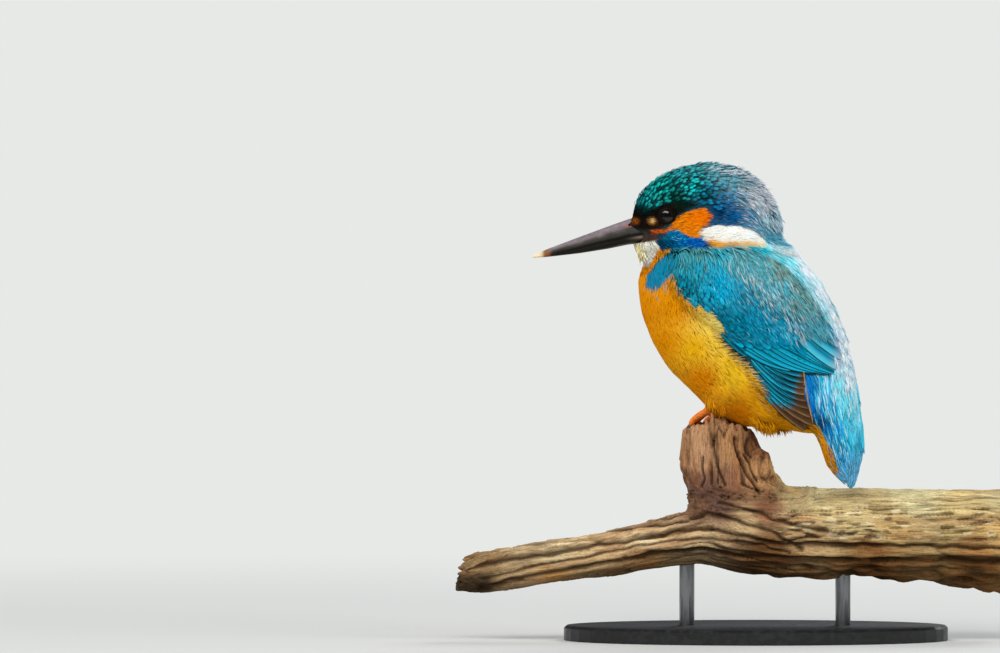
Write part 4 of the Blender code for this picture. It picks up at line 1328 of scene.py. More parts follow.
def vane_paint(open_edge, body, covered, tip, tip_from, line, brown=None, vary=.12, dark=.1):
    """A paint rule for a row: colours by how open the place is, then the tip. The covered side
    and the line along the open edge are painted shadow. `brown` gives where the brown starts
    in each feather, its paint, and the paint of its rim."""
    def rule(order, share, flat, rng, points):
        # Painted shadow: `covered` on the covered side and `line` along the open edge darken the
        # vane where its neighbour shades it.
        base = grade([covered, covered, body, open_edge, line], [-1, dark, dark + .35, .8, 1], flat)
        tones = np.broadcast_to(base, (len(order), len(share), len(flat), 3)).copy()
        if brown is not None:
            start = np.interp(order, [0, .17, .34, 1], brown[0])
            mask = rising(share[None, :, None] - start[:, None, None], .08 * flat, .16)[..., None]
            brown_with_painted_shadow = grade([covered, brown[1], brown[1], line], [-1, .1, .84, 1], flat)
            tones = tones + (brown_with_painted_shadow - tones) * mask
        mask = rising(share, tip_from, 1.02 - tip_from)[None, :, None, None]
        tones = tones + (colour(*tip) - tones) * mask
        if brown is not None:
            rim = (rising(flat, .62, .1) * rising(-flat, -.9, .1))[None, :]
            rim = rim * rising(share, .2, .2)[:, None]
            mask = rising(share[None, :], start[:, None], .3)[..., None] * rim[None]
            tones = tones + (colour(*brown[2]) - tones) * mask[..., None] * .6
        tone = np.exp(rng.normal(0, vary, len(order)))[:, None, None, None]
        flat_places = np.concatenate([points, points[..., :1] * 0], -1).reshape(-1, 3)
        streak = ripple(flat_places, 2.2, int(rng.integers(99))) * vary
        return tones * tone * np.exp(streak).reshape(points.shape[:3] + (1,))
    return rule


# %% Primaries, secondaries and tertials
fan("primaries", 9, [(8.6, 82.4, 14.3, 75.4, 22.2, 69.6), (7, 86, 14.9, 77.7, 25.2, 72),
    (5.6, 89.3, 14.4, 80, 24.5, 76), (4.7, 91.9, 13.8, 82.6, 23.4, 79.6),
    (4.2, 94, 13.2, 85.2, 22.7, 82.4), (5, 94.4, 13.8, 87.3, 22.4, 85),
    (6.8, 93.2, 15.2, 88.9, 22.1, 87.8)],
    [4.2, 4.2, 4], (-.25, -.05),
    vane_paint((24, 160, 190), (0, 122, 148), (20, 18, 20), (96, 70, 48), .86, (6, 10, 12),
               ([.12, .42, .6, .78], (78, 54, 34), (160, 122, 84)), dark=.28), split=.02)
fan("primary_coverts", 4, [(-5.5, 102.1, -1.5, 97.4, 2.8, 94), (-5.2, 103, -1, 98.6, 2.6, 96),
    (-4.8, 104, -.4, 99.6, 2.2, 97.4), (-4, 105, .2, 100.6, 1.8, 98.6)],
    [2.8, 2.8], (.15, .35),
    vane_paint((0, 140, 164), (0, 116, 138), (0, 60, 74), (0, 124, 148), .8, (8, 34, 42)), blunt=.4)
fan("secondaries", 9, [(-2.8, 100.7, 5, 93.9, 17.7, 89.5), (0, 99.3, 9.5, 92.9, 22.8, 89.5),
    (2.7, 99, 12.9, 91.8, 27.2, 89.2), (6.1, 98.3, 15.6, 92.2, 29.6, 88.9),
    (10.2, 97.6, 18.3, 92.3, 30.9, 88.7), (12.2, 97.6, 20, 92.9, 32.1, 88.4),
    (15.6, 97.3, 22.4, 93.5, 32.4, 88.8), (17.7, 97.3, 24.5, 93.2, 33, 88.9),
    (19.7, 97.6, 26.2, 92.9, 33.3, 89.3)],
    [4.6, 4.2, 3.8], (.12, .38),
    vane_paint((24, 160, 190), (0, 136, 164), (0, 50, 66), (56, 150, 172), .86, (4, 26, 34)),
    seed=6, blunt=.88, hidden=6)
fan("tertials", 3, [(17, 102.7, 26.2, 93.7, 34.3, 89.5), (18.7, 104.8, 27.8, 97.2, 34.4, 93.2),
    (19.7, 107.8, 28, 100.8, 33.6, 97.2)],
    [5.6, 5.4, 5.2], (.58, .8),
    vane_paint((84, 196, 218), (60, 178, 204), (20, 130, 160), (166, 182, 200), .62, (30, 26, 34)),
    tilt=.06, seed=7, blunt=.7, hidden=1.5)

# %% Coverts
fan("greater_coverts", 8, [(-5.4, 106.5, -2.6, 100.6, 1.6, 96.6),
    (-2.4, 106.5, .4, 100.4, 4.6, 96.5), (.6, 106, 3.4, 100.1, 7.6, 96),
    (3.4, 105.6, 6.2, 100, 10.4, 96.2), (6.4, 105.2, 9.2, 100, 13.4, 96.5),
    (9.6, 104.6, 12.4, 99.8, 16.6, 96.2), (12.4, 104, 15.4, 99.3, 19, 95.6),
    (15, 103.6, 17.6, 98.8, 21.6, 94.4)],
    [5.6, 5.6, 5], (.46, .56),
    vane_paint((10, 160, 196), (0, 150, 186), (0, 128, 160), (0, 154, 190), .7, (0, 84, 106),
               vary=.2), seed=8, blunt=.3, split=.04)
fan("median_coverts", 7, [(-7.9, 111, -5.8, 107, -3.4, 102.8), (-4.4, 110.8, -2.2, 107, 0, 103.2),
    (-1.4, 110.4, .9, 106.6, 3.4, 103.2), (2, 110, 4.4, 106.4, 6.8, 103.2),
    (5.4, 109, 8.1, 105.8, 10.4, 102.6), (9, 108, 11.4, 104.8, 13.8, 101.4),
    (12.2, 107, 15, 103.4, 17.6, 99.6)],
    [5.2, 5.2, 5], (.62, .76),
    vane_paint((0, 140, 172), (0, 126, 156), (0, 110, 138), (0, 134, 166), .7, (0, 84, 106)),
    tilt=.06, seed=9, blunt=.3)
# %% [markdown]
# ## The flank fringe
# The orange flank feathers are fluffed out, and their pale pointed tips
# lie over the front edge of the folded wing like a fringe. They are laid
# one by one along that edge: each starts in the orange and ends on blue.


# %% Places on the coat line by across and up
def shown_at(points, lift):
    """Places on the coat line on the bird's left side, raised by a lift in millimetres."""
    found = []
    for (at, high), rise in zip(points.reshape(-1, 2).tolist(), np.ravel(lift).tolist()):
        start = ACROSS * at * MM + Vector((0, 0, high * MM)) + TOWARDS * .2
        hit = LINE.ray_cast(start, -TOWARDS)[0]
        if hit is None:
            hit = LINE.find_nearest(start - TOWARDS * .2)[0]
        found.append(hit + TOWARDS * rise * MM)
    return np.array(found).reshape(points.shape[:-1] + (3,))


def laid(name, path, count, long, width, back, spread, paint, seed, slot="breast_orange",
         nodes=("trunk",), kind="body", lift=(.1, 1), finish=DOWN_FINISH, both=True,
         blend=False, hang=False, stray=.16):
    """Tufts laid one by one along a given path of (across, up, way across, way up)."""
    rng = np.random.default_rng(seed)
    at = np.sort(rng.random(count))
    stops = np.linspace(0, 1, len(path))
    rows = np.stack([np.interp(at, stops, column) for column in np.array(path, float).T], 1)
    line, way = rows[:, :2], rows[:, 2:]
    way = way + rng.normal(0, stray, way.shape)
    way /= np.linalg.norm(way, axis=1)[:, None]
    size = rng.uniform(*long, count)
    start = line - way * (size * back)[:, None] + rng.normal(0, spread, line.shape)
    share = np.linspace(0, 1, 5)
    bend = np.stack([-way[:, 1], way[:, 0]], 1) * rng.normal(0, stray / 2, count)[:, None]
    points = (start[:, None] + way[:, None] * (size[:, None] * share)[..., None]
              + bend[:, None] * (size[:, None] * share ** 2)[..., None])
    top = rng.uniform(*lift, count)
    height = -.6 * (1 - eased(share * 3))[None, :] + top[:, None] * share[None, :] ** .8
    places = shown_at(points, height)
    if hang:
        step = (points - points[:, :1]) * MM
        off = (height - height[:, :1])[..., None] * MM
        places = (places[:, :1] + step[..., :1] * RIGHT
                  + step[..., 1:] * np.array([0, 0, 1]) + off * NEAR)
    half = np.outer(rng.uniform(.7, 1.2, count), [.7, 1, .9, .6, 0]) * width * MM / 2
    ups = np.broadcast_to(NEAR, places.shape)
    tone = paint(points[:, 2], rng)
    # Painted shade: each tuft is darker at its root, and a little brighter toward its tip.
    paints = tone[:, None] * np.array([.75, .9, 1, 1.05, 1.08])[None, :, None]
    if blend:
        own = markings(places[:, 0])[:, None]
        paints = own + (paints - own) * np.array([0, .1, .45, .85, 1])[None, :, None]
    for side, mirror in (("left", 1), ("right", -1))[:2 if both else 1]:
        turn = np.array([1, mirror, 1])
        own = places[:, 0, 1] < (9 if mirror > 0 else -2 * MM)
        blades(f"{name}_{side}", places[own] * turn, ups[own] * turn, half[own] * mirror,
               half[own] * .5, paints[own], TUFT, kind, finish, nodes)


ON_MANTLE = {"slot": "wing_teal", "kind": "wing", "finish": SHINE_FINISH}
ON_RUMP = {"slot": "tail_blue", "finish": SHINE_FINISH}


# %% The fringe over the wing's edge
# The cream stops near (-8, 107) are lighter than the feathers' gold: painted light where the wing's
# edge shades the fringe.
FRINGE_WASH = [
    (-16, 112, 250, 186, 70), (-8, 107, 255, 228, 136), (-2, 100, 246, 212, 136),
    (5, 90, 238, 196, 120), (9, 82, 238, 180, 80), (13, 76, 230, 156, 30)]


def fringe_paint(points, rng):
    """Pale gold, with a share of the tufts along the middle of the edge painted near black, as
    painted shadow lines between the pale tips.
    """
    here = rising(-points[:, 1], -104, 4) * rising(points[:, 1], 78, 4)
    dark = rng.random(len(points)) < .34 * here
    return wash(points, FRINGE_WASH) * np.where(dark[:, None], .2, toned(rng, .12, len(points)))


laid("flank_fringe", [(-21.6, 121.5, .7, -.6), (-19.8, 116, .9, -.4), (-16.6, 111.6, 1, -.35),
    (-11.7, 108.8, 1, -.3), (-8.4, 106, 1, -.25), (-7, 102.6, 1, -.1), (-5.8, 99.6, 1, .1),
    (-2.8, 95.8, 1, .05), (1.2, 92, 1, 0), (4.4, 88, 1, -.1), (6.4, 83.8, 1, -.25),
    (8.4, 79.4, .9, -.5), (11.6, 75.4, .9, -.5), (15.6, 71.8, .9, -.3)],
     680, (2.8, 6), .44, .46, .6, fringe_paint, 51, blend=True)
laid("front_fringe", [(-16.4, 112.2, 1, -.5), (-12.4, 110.2, 1, -.4), (-9, 108.4, 1, -.3),
    (-6.2, 105.2, 1, -.18), (-5.4, 102, 1, 0)],
     230, (2.4, 4.6), .4, .7, .45, fringe_paint, 65, blend=True, lift=(.7, 1.3), stray=.12)


# %% Loose wisps at the outline
def own_marks(points, rng):
    """The bird's own markings, a little uneven."""
    return markings(shown_at(points, np.zeros(len(points)))) * toned(rng, .1, len(points), .05)


def picks(*colours):
    """A paint rule that gives each tuft one of a few colours."""
    def rule(points, rng):
        chosen = rng.integers(0, len(colours), len(points))
        paint = np.array([colour(*one) for one in colours])[chosen]
        own = markings(shown_at(points, np.zeros(len(points))))
        return (own * .35 + paint * .65) * toned(rng, .12, len(points))
    return rule


laid("belly_wisps", [(4, 74.4, .7, -.7), (7.6, 72, .6, -.9), (10, 70.9, .35, -1),
    (12, 71.8, .5, -1)],
     190, (3, 5.4), .5, .35, .45, own_marks, 52, hang=True, lift=(0, .3))
laid("throat_points", [(-32.6, 129.2, .35, -1), (-31.8, 128, .3, -1), (-29.4, 126.6, .2, -1)],
     70, (2.6, 4.2), .5, .5, .5, own_marks, 53, slot="neck_white", nodes=["neck"], kind="head",
     both=False, hang=True)


def nape_paint(points, rng):
    """Pale points, and a quarter of them dark."""
    pale = wash(points, [(10, 150, 214, 214, 222), (16, 140, 190, 212, 222)])
    paint = tinted(pale, (50, 90, 110), rng.random(len(points)) < .25)
    return paint * toned(rng, .12, len(points))


laid("nape_spikes", [(-7, 158, 1, .05), (0, 156.8, 1, -.1), (4.6, 154.8, 1, -.25),
    (8.8, 151.2, 1, -.5), (12.4, 146, .9, -.7), (14.2, 141, .65, -.9), (14.4, 135.4, .4, -1)],
     560, (2.8, 5), .34, .75, 1, nape_paint, 54, slot="crown_blue", nodes=["head"], kind="head",
     lift=(.2, .8), finish=SHINE_FINISH, both=False, hang=True)
laid("azure_wisps", [(-13, 126, .1, -1), (-8, 124, .2, -1), (-5, 119, .3, -1), (-3, 114, .3, -1)],
     240, (3.5, 6.5), .4, .3, 1.8,
     picks((0, 176, 224), (0, 190, 240), (0, 130, 165), (40, 196, 232)), 57, **ON_MANTLE,
     lift=(.5, 1.1))
# The white, lilac and pale grey picks of the mantle, pale, rump and back wisps are painted sheen on
# blue feathers.
laid("mantle_wisps", [(2, 125, .35, -.95), (8, 122.6, .4, -.93), (14, 119, .45, -.9),
    (18, 114, .5, -.85), (22, 109, .5, -.85)],
     440, (5, 9.5), .46, .3, 2.6,
     picks((150, 214, 222), (30, 190, 220), (0, 96, 116), (110, 190, 200), (180, 186, 182),
           (60, 140, 150)),
     55, **ON_MANTLE, lift=(.5, 1.1), stray=.07)
laid("pale_wisps", [(-2, 125, .2, -1), (5, 122, .25, -1), (8, 117.5, .3, -.95),
    (10, 114.5, .35, -.93), (13.5, 116, .4, -.9), (16, 111, .45, -.9), (18, 105, .5, -.88),
    (20.6, 101.6, .5, -.85)],
     170, (3.5, 7), .5, .35, 1.1,
     picks((222, 214, 218), (204, 214, 218), (170, 210, 220), (130, 214, 228)), 66, **ON_MANTLE,
     lift=(.7, 1.2), stray=.08)
laid("rump_wisps", [(26.6, 82.6, .15, -1), (28.6, 79.6, .2, -1), (30, 76, .25, -1),
    (32, 70, .25, -1), (34.6, 64, .25, -1)],
     300, (7, 13), .66, .4, 1.6,
     picks((0, 110, 200), (0, 160, 230), (140, 222, 240), (206, 242, 248), (30, 206, 230),
           (0, 130, 190)),
     61, **ON_RUMP, lift=(.3, .9), stray=.06)
laid("rump_points", [(40.2, 84, .12, -1), (41.4, 66, .1, -1)],
     34, (7, 10), .9, .4, .35, picks((60, 200, 226), (190, 232, 240), (0, 150, 196)), 64, **ON_RUMP,
     both=False, hang=True, stray=.05)
laid("back_wisps", [(24, 119, .55, -.8), (29.4, 112, .45, -.9), (34, 104, .35, -.93),
    (37, 95, .25, -1), (38.4, 86, .15, -1), (39.4, 78, .1, -1)],
     420, (7, 13), .6, .35, 1.2,
     picks((248, 246, 250), (226, 238, 242), (150, 226, 238), (60, 206, 226), (240, 228, 236),
           (150, 196, 210)),
     62, **ON_RUMP, lift=(.3, .9), stray=.07)
laid("edge_wisps", [(14.6, 127.4, .7, -.7), (19.6, 123, .6, -.8), (24.6, 116.8, .5, -.86),
    (28.6, 110, .45, -.9), (30.6, 105.6, .4, -.92)],
     130, (4, 7), .4, .3, .7,
     picks((120, 216, 226), (20, 200, 222), (60, 214, 232), (90, 170, 180)), 63, **ON_MANTLE,
     lift=(.3, .9))


def flank_paint(points, rng):
    """Dull gold, quite uneven."""
    return colour(206, 164, 104) * toned(rng, .2, len(points), -.1)


laid("flank_line", [(21.9, 88.4, .08, -1), (22.5, 83.7, .15, -1), (23.4, 79, .24, -1),
    (24.6, 74.5, .24, -1), (25, 72, .1, -1)],
     80, (3.5, 6), .2, .5, .08, flank_paint, 56, lift=(.6, .9), stray=.03)
laid("thigh_wisps", [(-9.4, 79.4, .3, -1), (-7.4, 78.2, .35, -1), (-4.6, 76.6, .5, -.9)],
     150, (3.4, 5), .5, .35, .5, own_marks, 58, hang=True, lift=(.1, .5))
# %% [markdown]
# ## The tail
# Twelve short stiff feathers, closed like a fan of cards: the middle pair
# lies on top and is the longest, and each next pair is a little shorter,
# lower and further out.

# %% Tail feathers
TAILS, HALF_WIDTH = 12, 2.3
side = (np.arange(TAILS) - (TAILS - 1) / 2) / ((TAILS - 1) / 2)
share = np.linspace(0, 1, 16)
tip_z = 51.7 + 5.2 * side ** 2
down = 79 + (tip_z[:, None] - 79) * share
back = 40 - .27 * (down - 51.7) - 1.6 * side[:, None] ** 2 + .15 * (1 - np.abs(side))[:, None]
aside = side[:, None] * (3.6 + np.clip(72 - down, 0, 99) * .25)
lines = np.stack([back, aside, down], 2) * MM
ups = np.array([.95, 0, .3]) + lines * [0, 40, 0]
ups = ups / np.linalg.norm(ups, axis=2)[..., None]
profile = np.interp(share, [0, .4, .8, .93, .98, 1], [.6, .95, 1, .72, .4, 0])
half = np.outer(np.ones(TAILS), profile) * HALF_WIDTH * MM
flat = np.array(VANE, float)[:, 0]
TAIL_BLUES = [(0, 84, 160), (20, 130, 210), (90, 176, 226), (150, 186, 220)]
along = grade(TAIL_BLUES, [0, .45, .8, 1], share)
across_vane = np.interp(np.abs(flat), [0, .1, .5, 1], [.6, .95, 1, .7])
lighter = 1 + .25 * np.abs(side)
tones = lighter[:, None, None, None] * along[None, :, None] * across_vane[None, None, :, None]
blades("tail_feathers", lines, ups, half, half * .12, tones, VANE, "body",
       VANE_FINISH, ["tail"])
# %% [markdown]
# ## The bill
# The bill is a long dagger in two halves. Each half starts as a plain
# tube from a cone operator, is cut into rings along its length, and every
# ring is then drawn to the ridge, mouth and keel lines of the real bill.
# The lower half is a little narrower, which leaves a true mouth line.


# %% Lines of the bill, by millimetres ahead of the neck
BILL_X = [-62.5, -61.8, -58.5, -56.3, -46.5, -37, -30.8, -26, -23.4, -21.5]
RIDGE_Z = [127.9, 128.5, 129.9, 130.8, 134.5, 138, 140.2, 141.6, 142.2, 142.6]
MOUTH_Z = [127.75, 127.8, 128.1, 128.5, 130.8, 133.1, 134.5, 135.2, 135.6, 135.9]
KEEL_Z = [127.6, 127.5, 127.7, 127.9, 129, 130.5, 131.8, 132.4, 132.7, 132.9]
BILL_HALF = [.12, .3, .75, 1, 1.95, 2.9, 4, 5.3, 6.2, 6.4]
NOSTRIL_X, NOSTRIL_Z = -30.6, 138.1


def world_places(head):
    """Places from the head's own frame back to the world."""
    return np.stack([NECK_X + math.cos(TURN) * head[:, 0] - math.sin(TURN) * head[:, 1],
                     math.sin(TURN) * head[:, 0] + math.cos(TURN) * head[:, 1], head[:, 2]], 1)


def own_piece(shape, paints, name, finish, nodes):
    """A finished bmesh as a piece that rides on the body."""
    bmesh.ops.recalc_face_normals(shape, faces=shape.faces)
    mesh = bpy.data.meshes.new(name)
    shape.to_mesh(mesh)
    shape.free()
    return placed(mesh, paints, name, finish, nodes)


def tube_rings(rings, segments):
    """A closed tube along Z from 0 to 1, cut into rings, with a radius of 1."""
    tube = bmesh.new()
    bmesh.ops.create_cone(tube, cap_ends=True, segments=segments, radius1=1, radius2=1, depth=1)
    bmesh.ops.translate(tube, verts=tube.verts, vec=(0, 0, .5))
    long_edges = [e for e in tube.edges if abs(e.verts[0].co.z - e.verts[1].co.z) > .5]
    bmesh.ops.subdivide_edges(tube, edges=long_edges, cuts=rings, use_grid_fill=False)
    return tube


def bill_half(name, part, upper):
    """One half of the bill, with its paint."""
    tube = tube_rings(90, 36)
    flat = np.array([corner.co for corner in tube.verts])
    x = np.interp(flat[:, 2] ** .9, [0, 1], [-21.5, -62.5])
    ridge, mouth, keel, half = (np.interp(x, BILL_X, line)
                                for line in (RIDGE_Z, MOUTH_Z, KEEL_Z, BILL_HALF))
    aside, upright = flat[:, 0], flat[:, 1]
    if upper:
        domed = (ridge - mouth) * np.abs(upright) ** 1.15
        high = np.where(upright > 0, domed, upright * .12 * half)
        wide = half * aside * (1 - .18 * np.clip(upright, 0, 1))
        nostril = np.exp(-((x - NOSTRIL_X) / 1.9) ** 2
                         - ((mouth + high - NOSTRIL_Z - .12 * (x - NOSTRIL_X)) / .34) ** 2)
        tall = np.clip(high / (ridge - mouth + .01), 0, 1)
    else:
        high = np.where(upright < 0, (mouth - keel) * upright * .98, upright * .05 * half) - .08
        wide = half * aside * .9
        nostril = 0 * x
        tall = np.clip(-high / (mouth - keel + .01), 0, 1)
    wide = wide - np.sign(wide) * .3 * nostril
    places = world_places(np.stack([x, wide, mouth + high], 1) * MM)
    for corner, place in zip(tube.verts, places.tolist()):
        corner.co = place
    if upper:
        # From near black at the mouth to pale grey-violet along the ridge: the dark horn with a
        # painted sheen along its top.
        paint = grade([(16, 14, 8), (22, 20, 12), (48, 44, 34), (114, 102, 108), (134, 120, 128),
                       (128, 118, 120)], [0, .25, .45, .66, .85, 1],
                      tall + ripple(places, 3 * MM, 61) * .1)
    else:
        paint = grade([(40, 34, 26), (16, 14, 9), (20, 17, 10), (58, 52, 22)], [0, .3, .8, 1],
                      tall + ripple(places, 3 * MM, 62) * .12)
        soft = np.exp(-((x + 26.5) / 2.8) ** 2 - ((tall - .3) / .2) ** 2)
        paint = tinted(paint, (150, 128, 112), soft * .8)
    along = np.stack([x / 9, tall * 6, np.sign(wide)], 1)
    paint = paint * np.exp(ripple(along, 1, 63) * .36)[:, None]
    paint = tinted(paint, (168, 92, 76), nostril)
    paint = tinted(paint, (196, 84, 40), rising(x, -23.6, 1.2) * rising(-tall, -.6, .5) * .85)
    paint = tinted(paint, (136, 84, 42), rising(-x, 55.5, 2.4))
    paint = tinted(paint, (238, 214, 172), rising(-x, 58.2, 1.6))
    return own_piece(tube, np.clip(paint, 0, 1), name, BILL_FINISH, [part])


bill_half("horn_upper", "bill_upper", True)
bill_half("horn_lower", "bill_lower", False)

# %% [markdown]
# ## The eyes and their lids
# Each eye is a glossy dark ball, far larger than the part that shows. A
# rounded lid, spun about the eye's own axis, covers it down to a small
# opening, and the fine feathers of the face run up to the lid.

# %% Eyes and lids
EYE_RADIUS = (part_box("eye_left")[1].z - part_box("eye_left")[0].z) / 2
LID_LINE = [
    (2.16, 2.93), (2.22, 3.14), (2.42, 3.22), (2.75, 3.02), (3.2, 2.5), (3.6, 1.7), (3.3, 1.5),
    (2.9, 2.18), (2.4, 2.74)]


def off_axis(shape):
    """How far a bmesh's corners are from its own upright axis, in millimetres. A corner
    below the middle counts as 4."""
    return np.array([math.hypot(v.co.x, v.co.y) if v.co.z > 0 else 4 * MM
                     for v in shape.verts]) / MM


for side, way in (("left", -1), ("right", 1)):
    centre = middle("eye_" + side)
    outward = Vector((-math.sin(TURN) * way, math.cos(TURN) * way, 0))
    turn = Matrix.Translation(centre) @ outward.to_track_quat("Z", "Y").to_matrix().to_4x4()
    ball = bmesh.new()
    bmesh.ops.create_uvsphere(ball, u_segments=48, v_segments=32, radius=EYE_RADIUS)
    paint = grade([(4, 3, 3), (4, 3, 3), (28, 16, 10), (18, 11, 7), (6, 5, 4)],
                  [0, 1.25, 1.45, 2, 2.3], off_axis(ball))
    bmesh.ops.transform(ball, matrix=turn, verts=ball.verts)
    own_piece(ball, paint, "eyeball_" + side, EYE_FINISH, ["eye_" + side])
    lid = bmesh.new()
    ring = [lid.verts.new((r * MM, 0, h * MM)) for r, h in LID_LINE]
    line = [lid.edges.new((a, b)) for a, b in zip(ring, ring[1:] + ring[:1])]
    bmesh.ops.spin(lid, geom=ring + line, cent=(0, 0, 0), axis=(0, 0, 1), angle=2 * math.pi,
                   steps=40, use_merge=True)
    bmesh.ops.remove_doubles(lid, verts=lid.verts, dist=1e-6)
    bmesh.ops.scale(lid, vec=(1.02, .95, 1), verts=lid.verts)
    paint = grade([(40, 24, 16), (16, 11, 8), (8, 8, 7)], [2.1, 2.4, 3], off_axis(lid))
    bmesh.ops.transform(lid, matrix=turn, verts=lid.verts)
    own_piece(lid, paint, "eyelid_" + side, LID_FINISH, [])
# %% [markdown]
# ## Legs and claws
# The small orange feet are almost hidden under the belly. The solids have
# the right shape but flat facets, so each is wrapped in fine faces and
# rubbed smooth, and its scales are shallow rings in the finish.


# %% A smooth skin over a small solid
def refined(nodes, name, voxel, rounds, finish, paint_of, swell):
    """A smooth closed copy of CAD nodes, painted by a rule of its places."""
    mesh = wrapped(joined(nodes, swell), name, voxel)
    shape = rubbed(mesh, rounds)
    bpy.data.meshes.remove(mesh)
    places = np.array([corner.co for corner in shape.verts])
    return own_piece(shape, paint_of(places), name, finish, nodes)


def leg_paint(places):
    """Orange skin in fine bands."""
    bands = np.sin(places @ np.array([1, .3, .6]) / (.55 * MM) * 2 * math.pi) * .5 + .5
    base = grade([(206, 88, 4), (255, 136, 26)], [0, 1], bands * .6 + .4)
    return base * np.exp(ripple(places, 1.2 * MM, 71) * .2)[:, None]


def claw_paint(places):
    """Brown horn in soft patches."""
    return grade([(60, 46, 34), (128, 104, 78)], [-1, 1], ripple(places, .5 * MM, 72))


for side in ("left", "right"):
    claws = [f"claw_{side}_{toe}" for toe in ("inner", "middle", "outer", "hind")]
    refined(["leg_" + side], "foot_" + side, .22 * MM, 2, LEG_FINISH, leg_paint,
            .34 * MM)
    refined(claws, "claws_" + side, .12 * MM, 1, CLAW_FINISH, claw_paint, .1 * MM)
# %% [markdown]
# ## The perch
# Old wood without its bark splits along the grain: long cracks, thin
# ridges that stand between them, and loose splinters at the broken stump.
# The solid is wrapped in fine faces, and each is moved by noise that is
# stretched along the grain. On the arms the grain runs across, in the
# stump it stands up, and between them it sweeps round.


# %% The grain's own directions
FLOW = [
    (-88, 24), (-74, 27.6), (-57, 30.4), (-41, 33), (-25, 35.6), (-12, 37.8), (-8, 37.4), (4, 34.6),
    (16, 32.4), (27, 32), (92, 31.4)]


def grain_places(places):
    """For each place: along the grain, and two directions across it, in millimetres."""
    across = places @ RIGHT / MM
    near = places @ NEAR / MM
    up = places[:, 2] / MM
    level = up - np.interp(across, *zip(*FLOW))
    stand = rising(up - 40, .1 * np.abs(across + 3), 12) * rising(-np.abs(across - 1), -27, 8)
    along = across * (1 - stand) + up * stand
    over = level * (1 - stand) + (across * .9 + 40) * stand
    return np.stack([along, over, near], 1), stand


def stretched(grain, long, wide, seed):
    """Noise with bumps of one length along the grain and another across it."""
    return ripple(grain / np.array([long, wide, wide]), 1, seed)


def crack(grain, long, wide, seed, share):
    """Narrow lines where stretched noise passes through nothing, from 0 to 1."""
    return np.clip(1 - np.abs(stretched(grain, long, wide, seed)) / share, 0, 1)


# %% Wrapping and carving the wood
WOOD_NODE = "perch_branch"
wood_mesh = wrapped(joined([WOOD_NODE]), "wood", .52 * MM)
wood = rubbed(wood_mesh, 3)
bpy.data.meshes.remove(wood_mesh)
wood.normal_update()
places = np.array([corner.co for corner in wood.verts])
normals = np.array([corner.normal for corner in wood.verts])
grain, stand = grain_places(places)
warp = np.stack([ripple(places, 9 * MM, 81), ripple(places, 9 * MM, 82) * .7,
                 ripple(places, 9 * MM, 83) * .7], 1)
bent = grain + warp
flat = np.stack([places @ RIGHT, places[:, 2]], 1) / MM
(right, high), over = flat.T, grain[:, 1]
flaky = rising(right, 8, 12) * rising(over, 1, 2) * rising(-over, -14.5, 2)
fibre = stretched(bent, 12, .9, 84) * .8 + stretched(bent, 26, 1.9, 85)
deep = crack(bent, 46, 3, 86, .1) * eased(stretched(bent, 30, 5, 87) * 1.6 + .3)
fine = crack(bent, 18, 1.3, 88, .26) * eased(stretched(bent, 18, 3, 89) * 1.6 + .4)
chips = rising(stretched(bent, 5, .6, 97), .26, .14) * flaky
lumps = ripple(places, 6 * MM, 90)
plates = rising(ripple(bent / [3.2, 1.6, 2], 1, 98), .1, .1) * rising(-right, 8, 8)
knot = rising(-np.hypot(right - 7.4, high - 58.2), -4.6, 1.6)
waist = rising(right, 11, 2) * rising(high, 54, 4)
ragged = rising(-normals[:, 2], .2, .4) * rising(right, 6, 6)
height = (fibre * (.42 - .24 * stand) + lumps * .3 - deep * 1.1 - fine * .4 - chips * .6
          + plates * .4 * eased(over / 2) + knot * .9 - waist * 1.5
          + ragged * (stretched(bent, 7, 1.6, 103) * 1.6 - .5))


# %% Grooves carved along wavering lines on the show side
wavy = flat + np.stack([ripple(places, 4 * MM, 91), ripple(places, 4 * MM, 92)], 1) * .6
shown = rising(normals @ NEAR, -.1, .5)
GROOVES = [
    (FLOW[:7], 1, 1.5), (FLOW[6:], .7, 1.3),
    ([(-86, 17), (-70, 21.2), (-49, 25), (-30, 28), (-12, 30.4), (2, 28.4), (16, 27.6)], .9, 1.3),
    ([(16, 27.6), (44, 27), (92, 26)], .8, 1.4),
    ([(-72, 31), (-50, 35), (-34, 37.6), (-16, 40)], .5, .6),
    ([(-84, 20.6), (-60, 26.4), (-36, 31), (-12, 34.4), (2, 33), (18, 29.6)], .5, .5),
    ([(-11, 61), (-11.4, 58), (-10.6, 54), (-12, 51)], .4, 1.2),
    ([(-8, 66.4), (-6.8, 61), (-6, 57.4), (-4, 52)], .42, 1.8),
    ([(-.3, 67.6), (1.2, 61), (3.8, 55), (7.4, 49)], .5, 2),
    ([(2.6, 62), (4.2, 58), (6.6, 53)], .35, 1.2), ([(3.6, 68), (4, 63), (4.6, 60.6)], .5, 1),
    ([(-15, 41), (-9.7, 42.7), (-1.8, 40.3), (11.3, 37.2), (22, 30.4)], .7, 1),
    ([(-6, 46), (4, 43.4), (16, 40), (30, 36.4)], .6, .9)]
carved = np.zeros(len(places))
for outline, wide, depth in GROOVES:
    gap = to_line(wavy, np.array(outline, float))
    line = np.clip(1 - gap / wide / 1.3, 0, 1) ** .7 * shown
    height -= line * depth
    carved = np.maximum(carved, line)
top = rising(high, 66.5, 2)
lip = top * np.interp(right, [-14, -12.6, -7.4, -6.6, -5.8, -3.6, -2.8], [0, 1, 1, 0, .7, .7, 0])
splinters = stretched(grain, 40, 1.3, 93)
lift = np.where(splinters > 0, splinters * 1.6, splinters * 3.2) * top
ends = rising(-right, 79, 5)
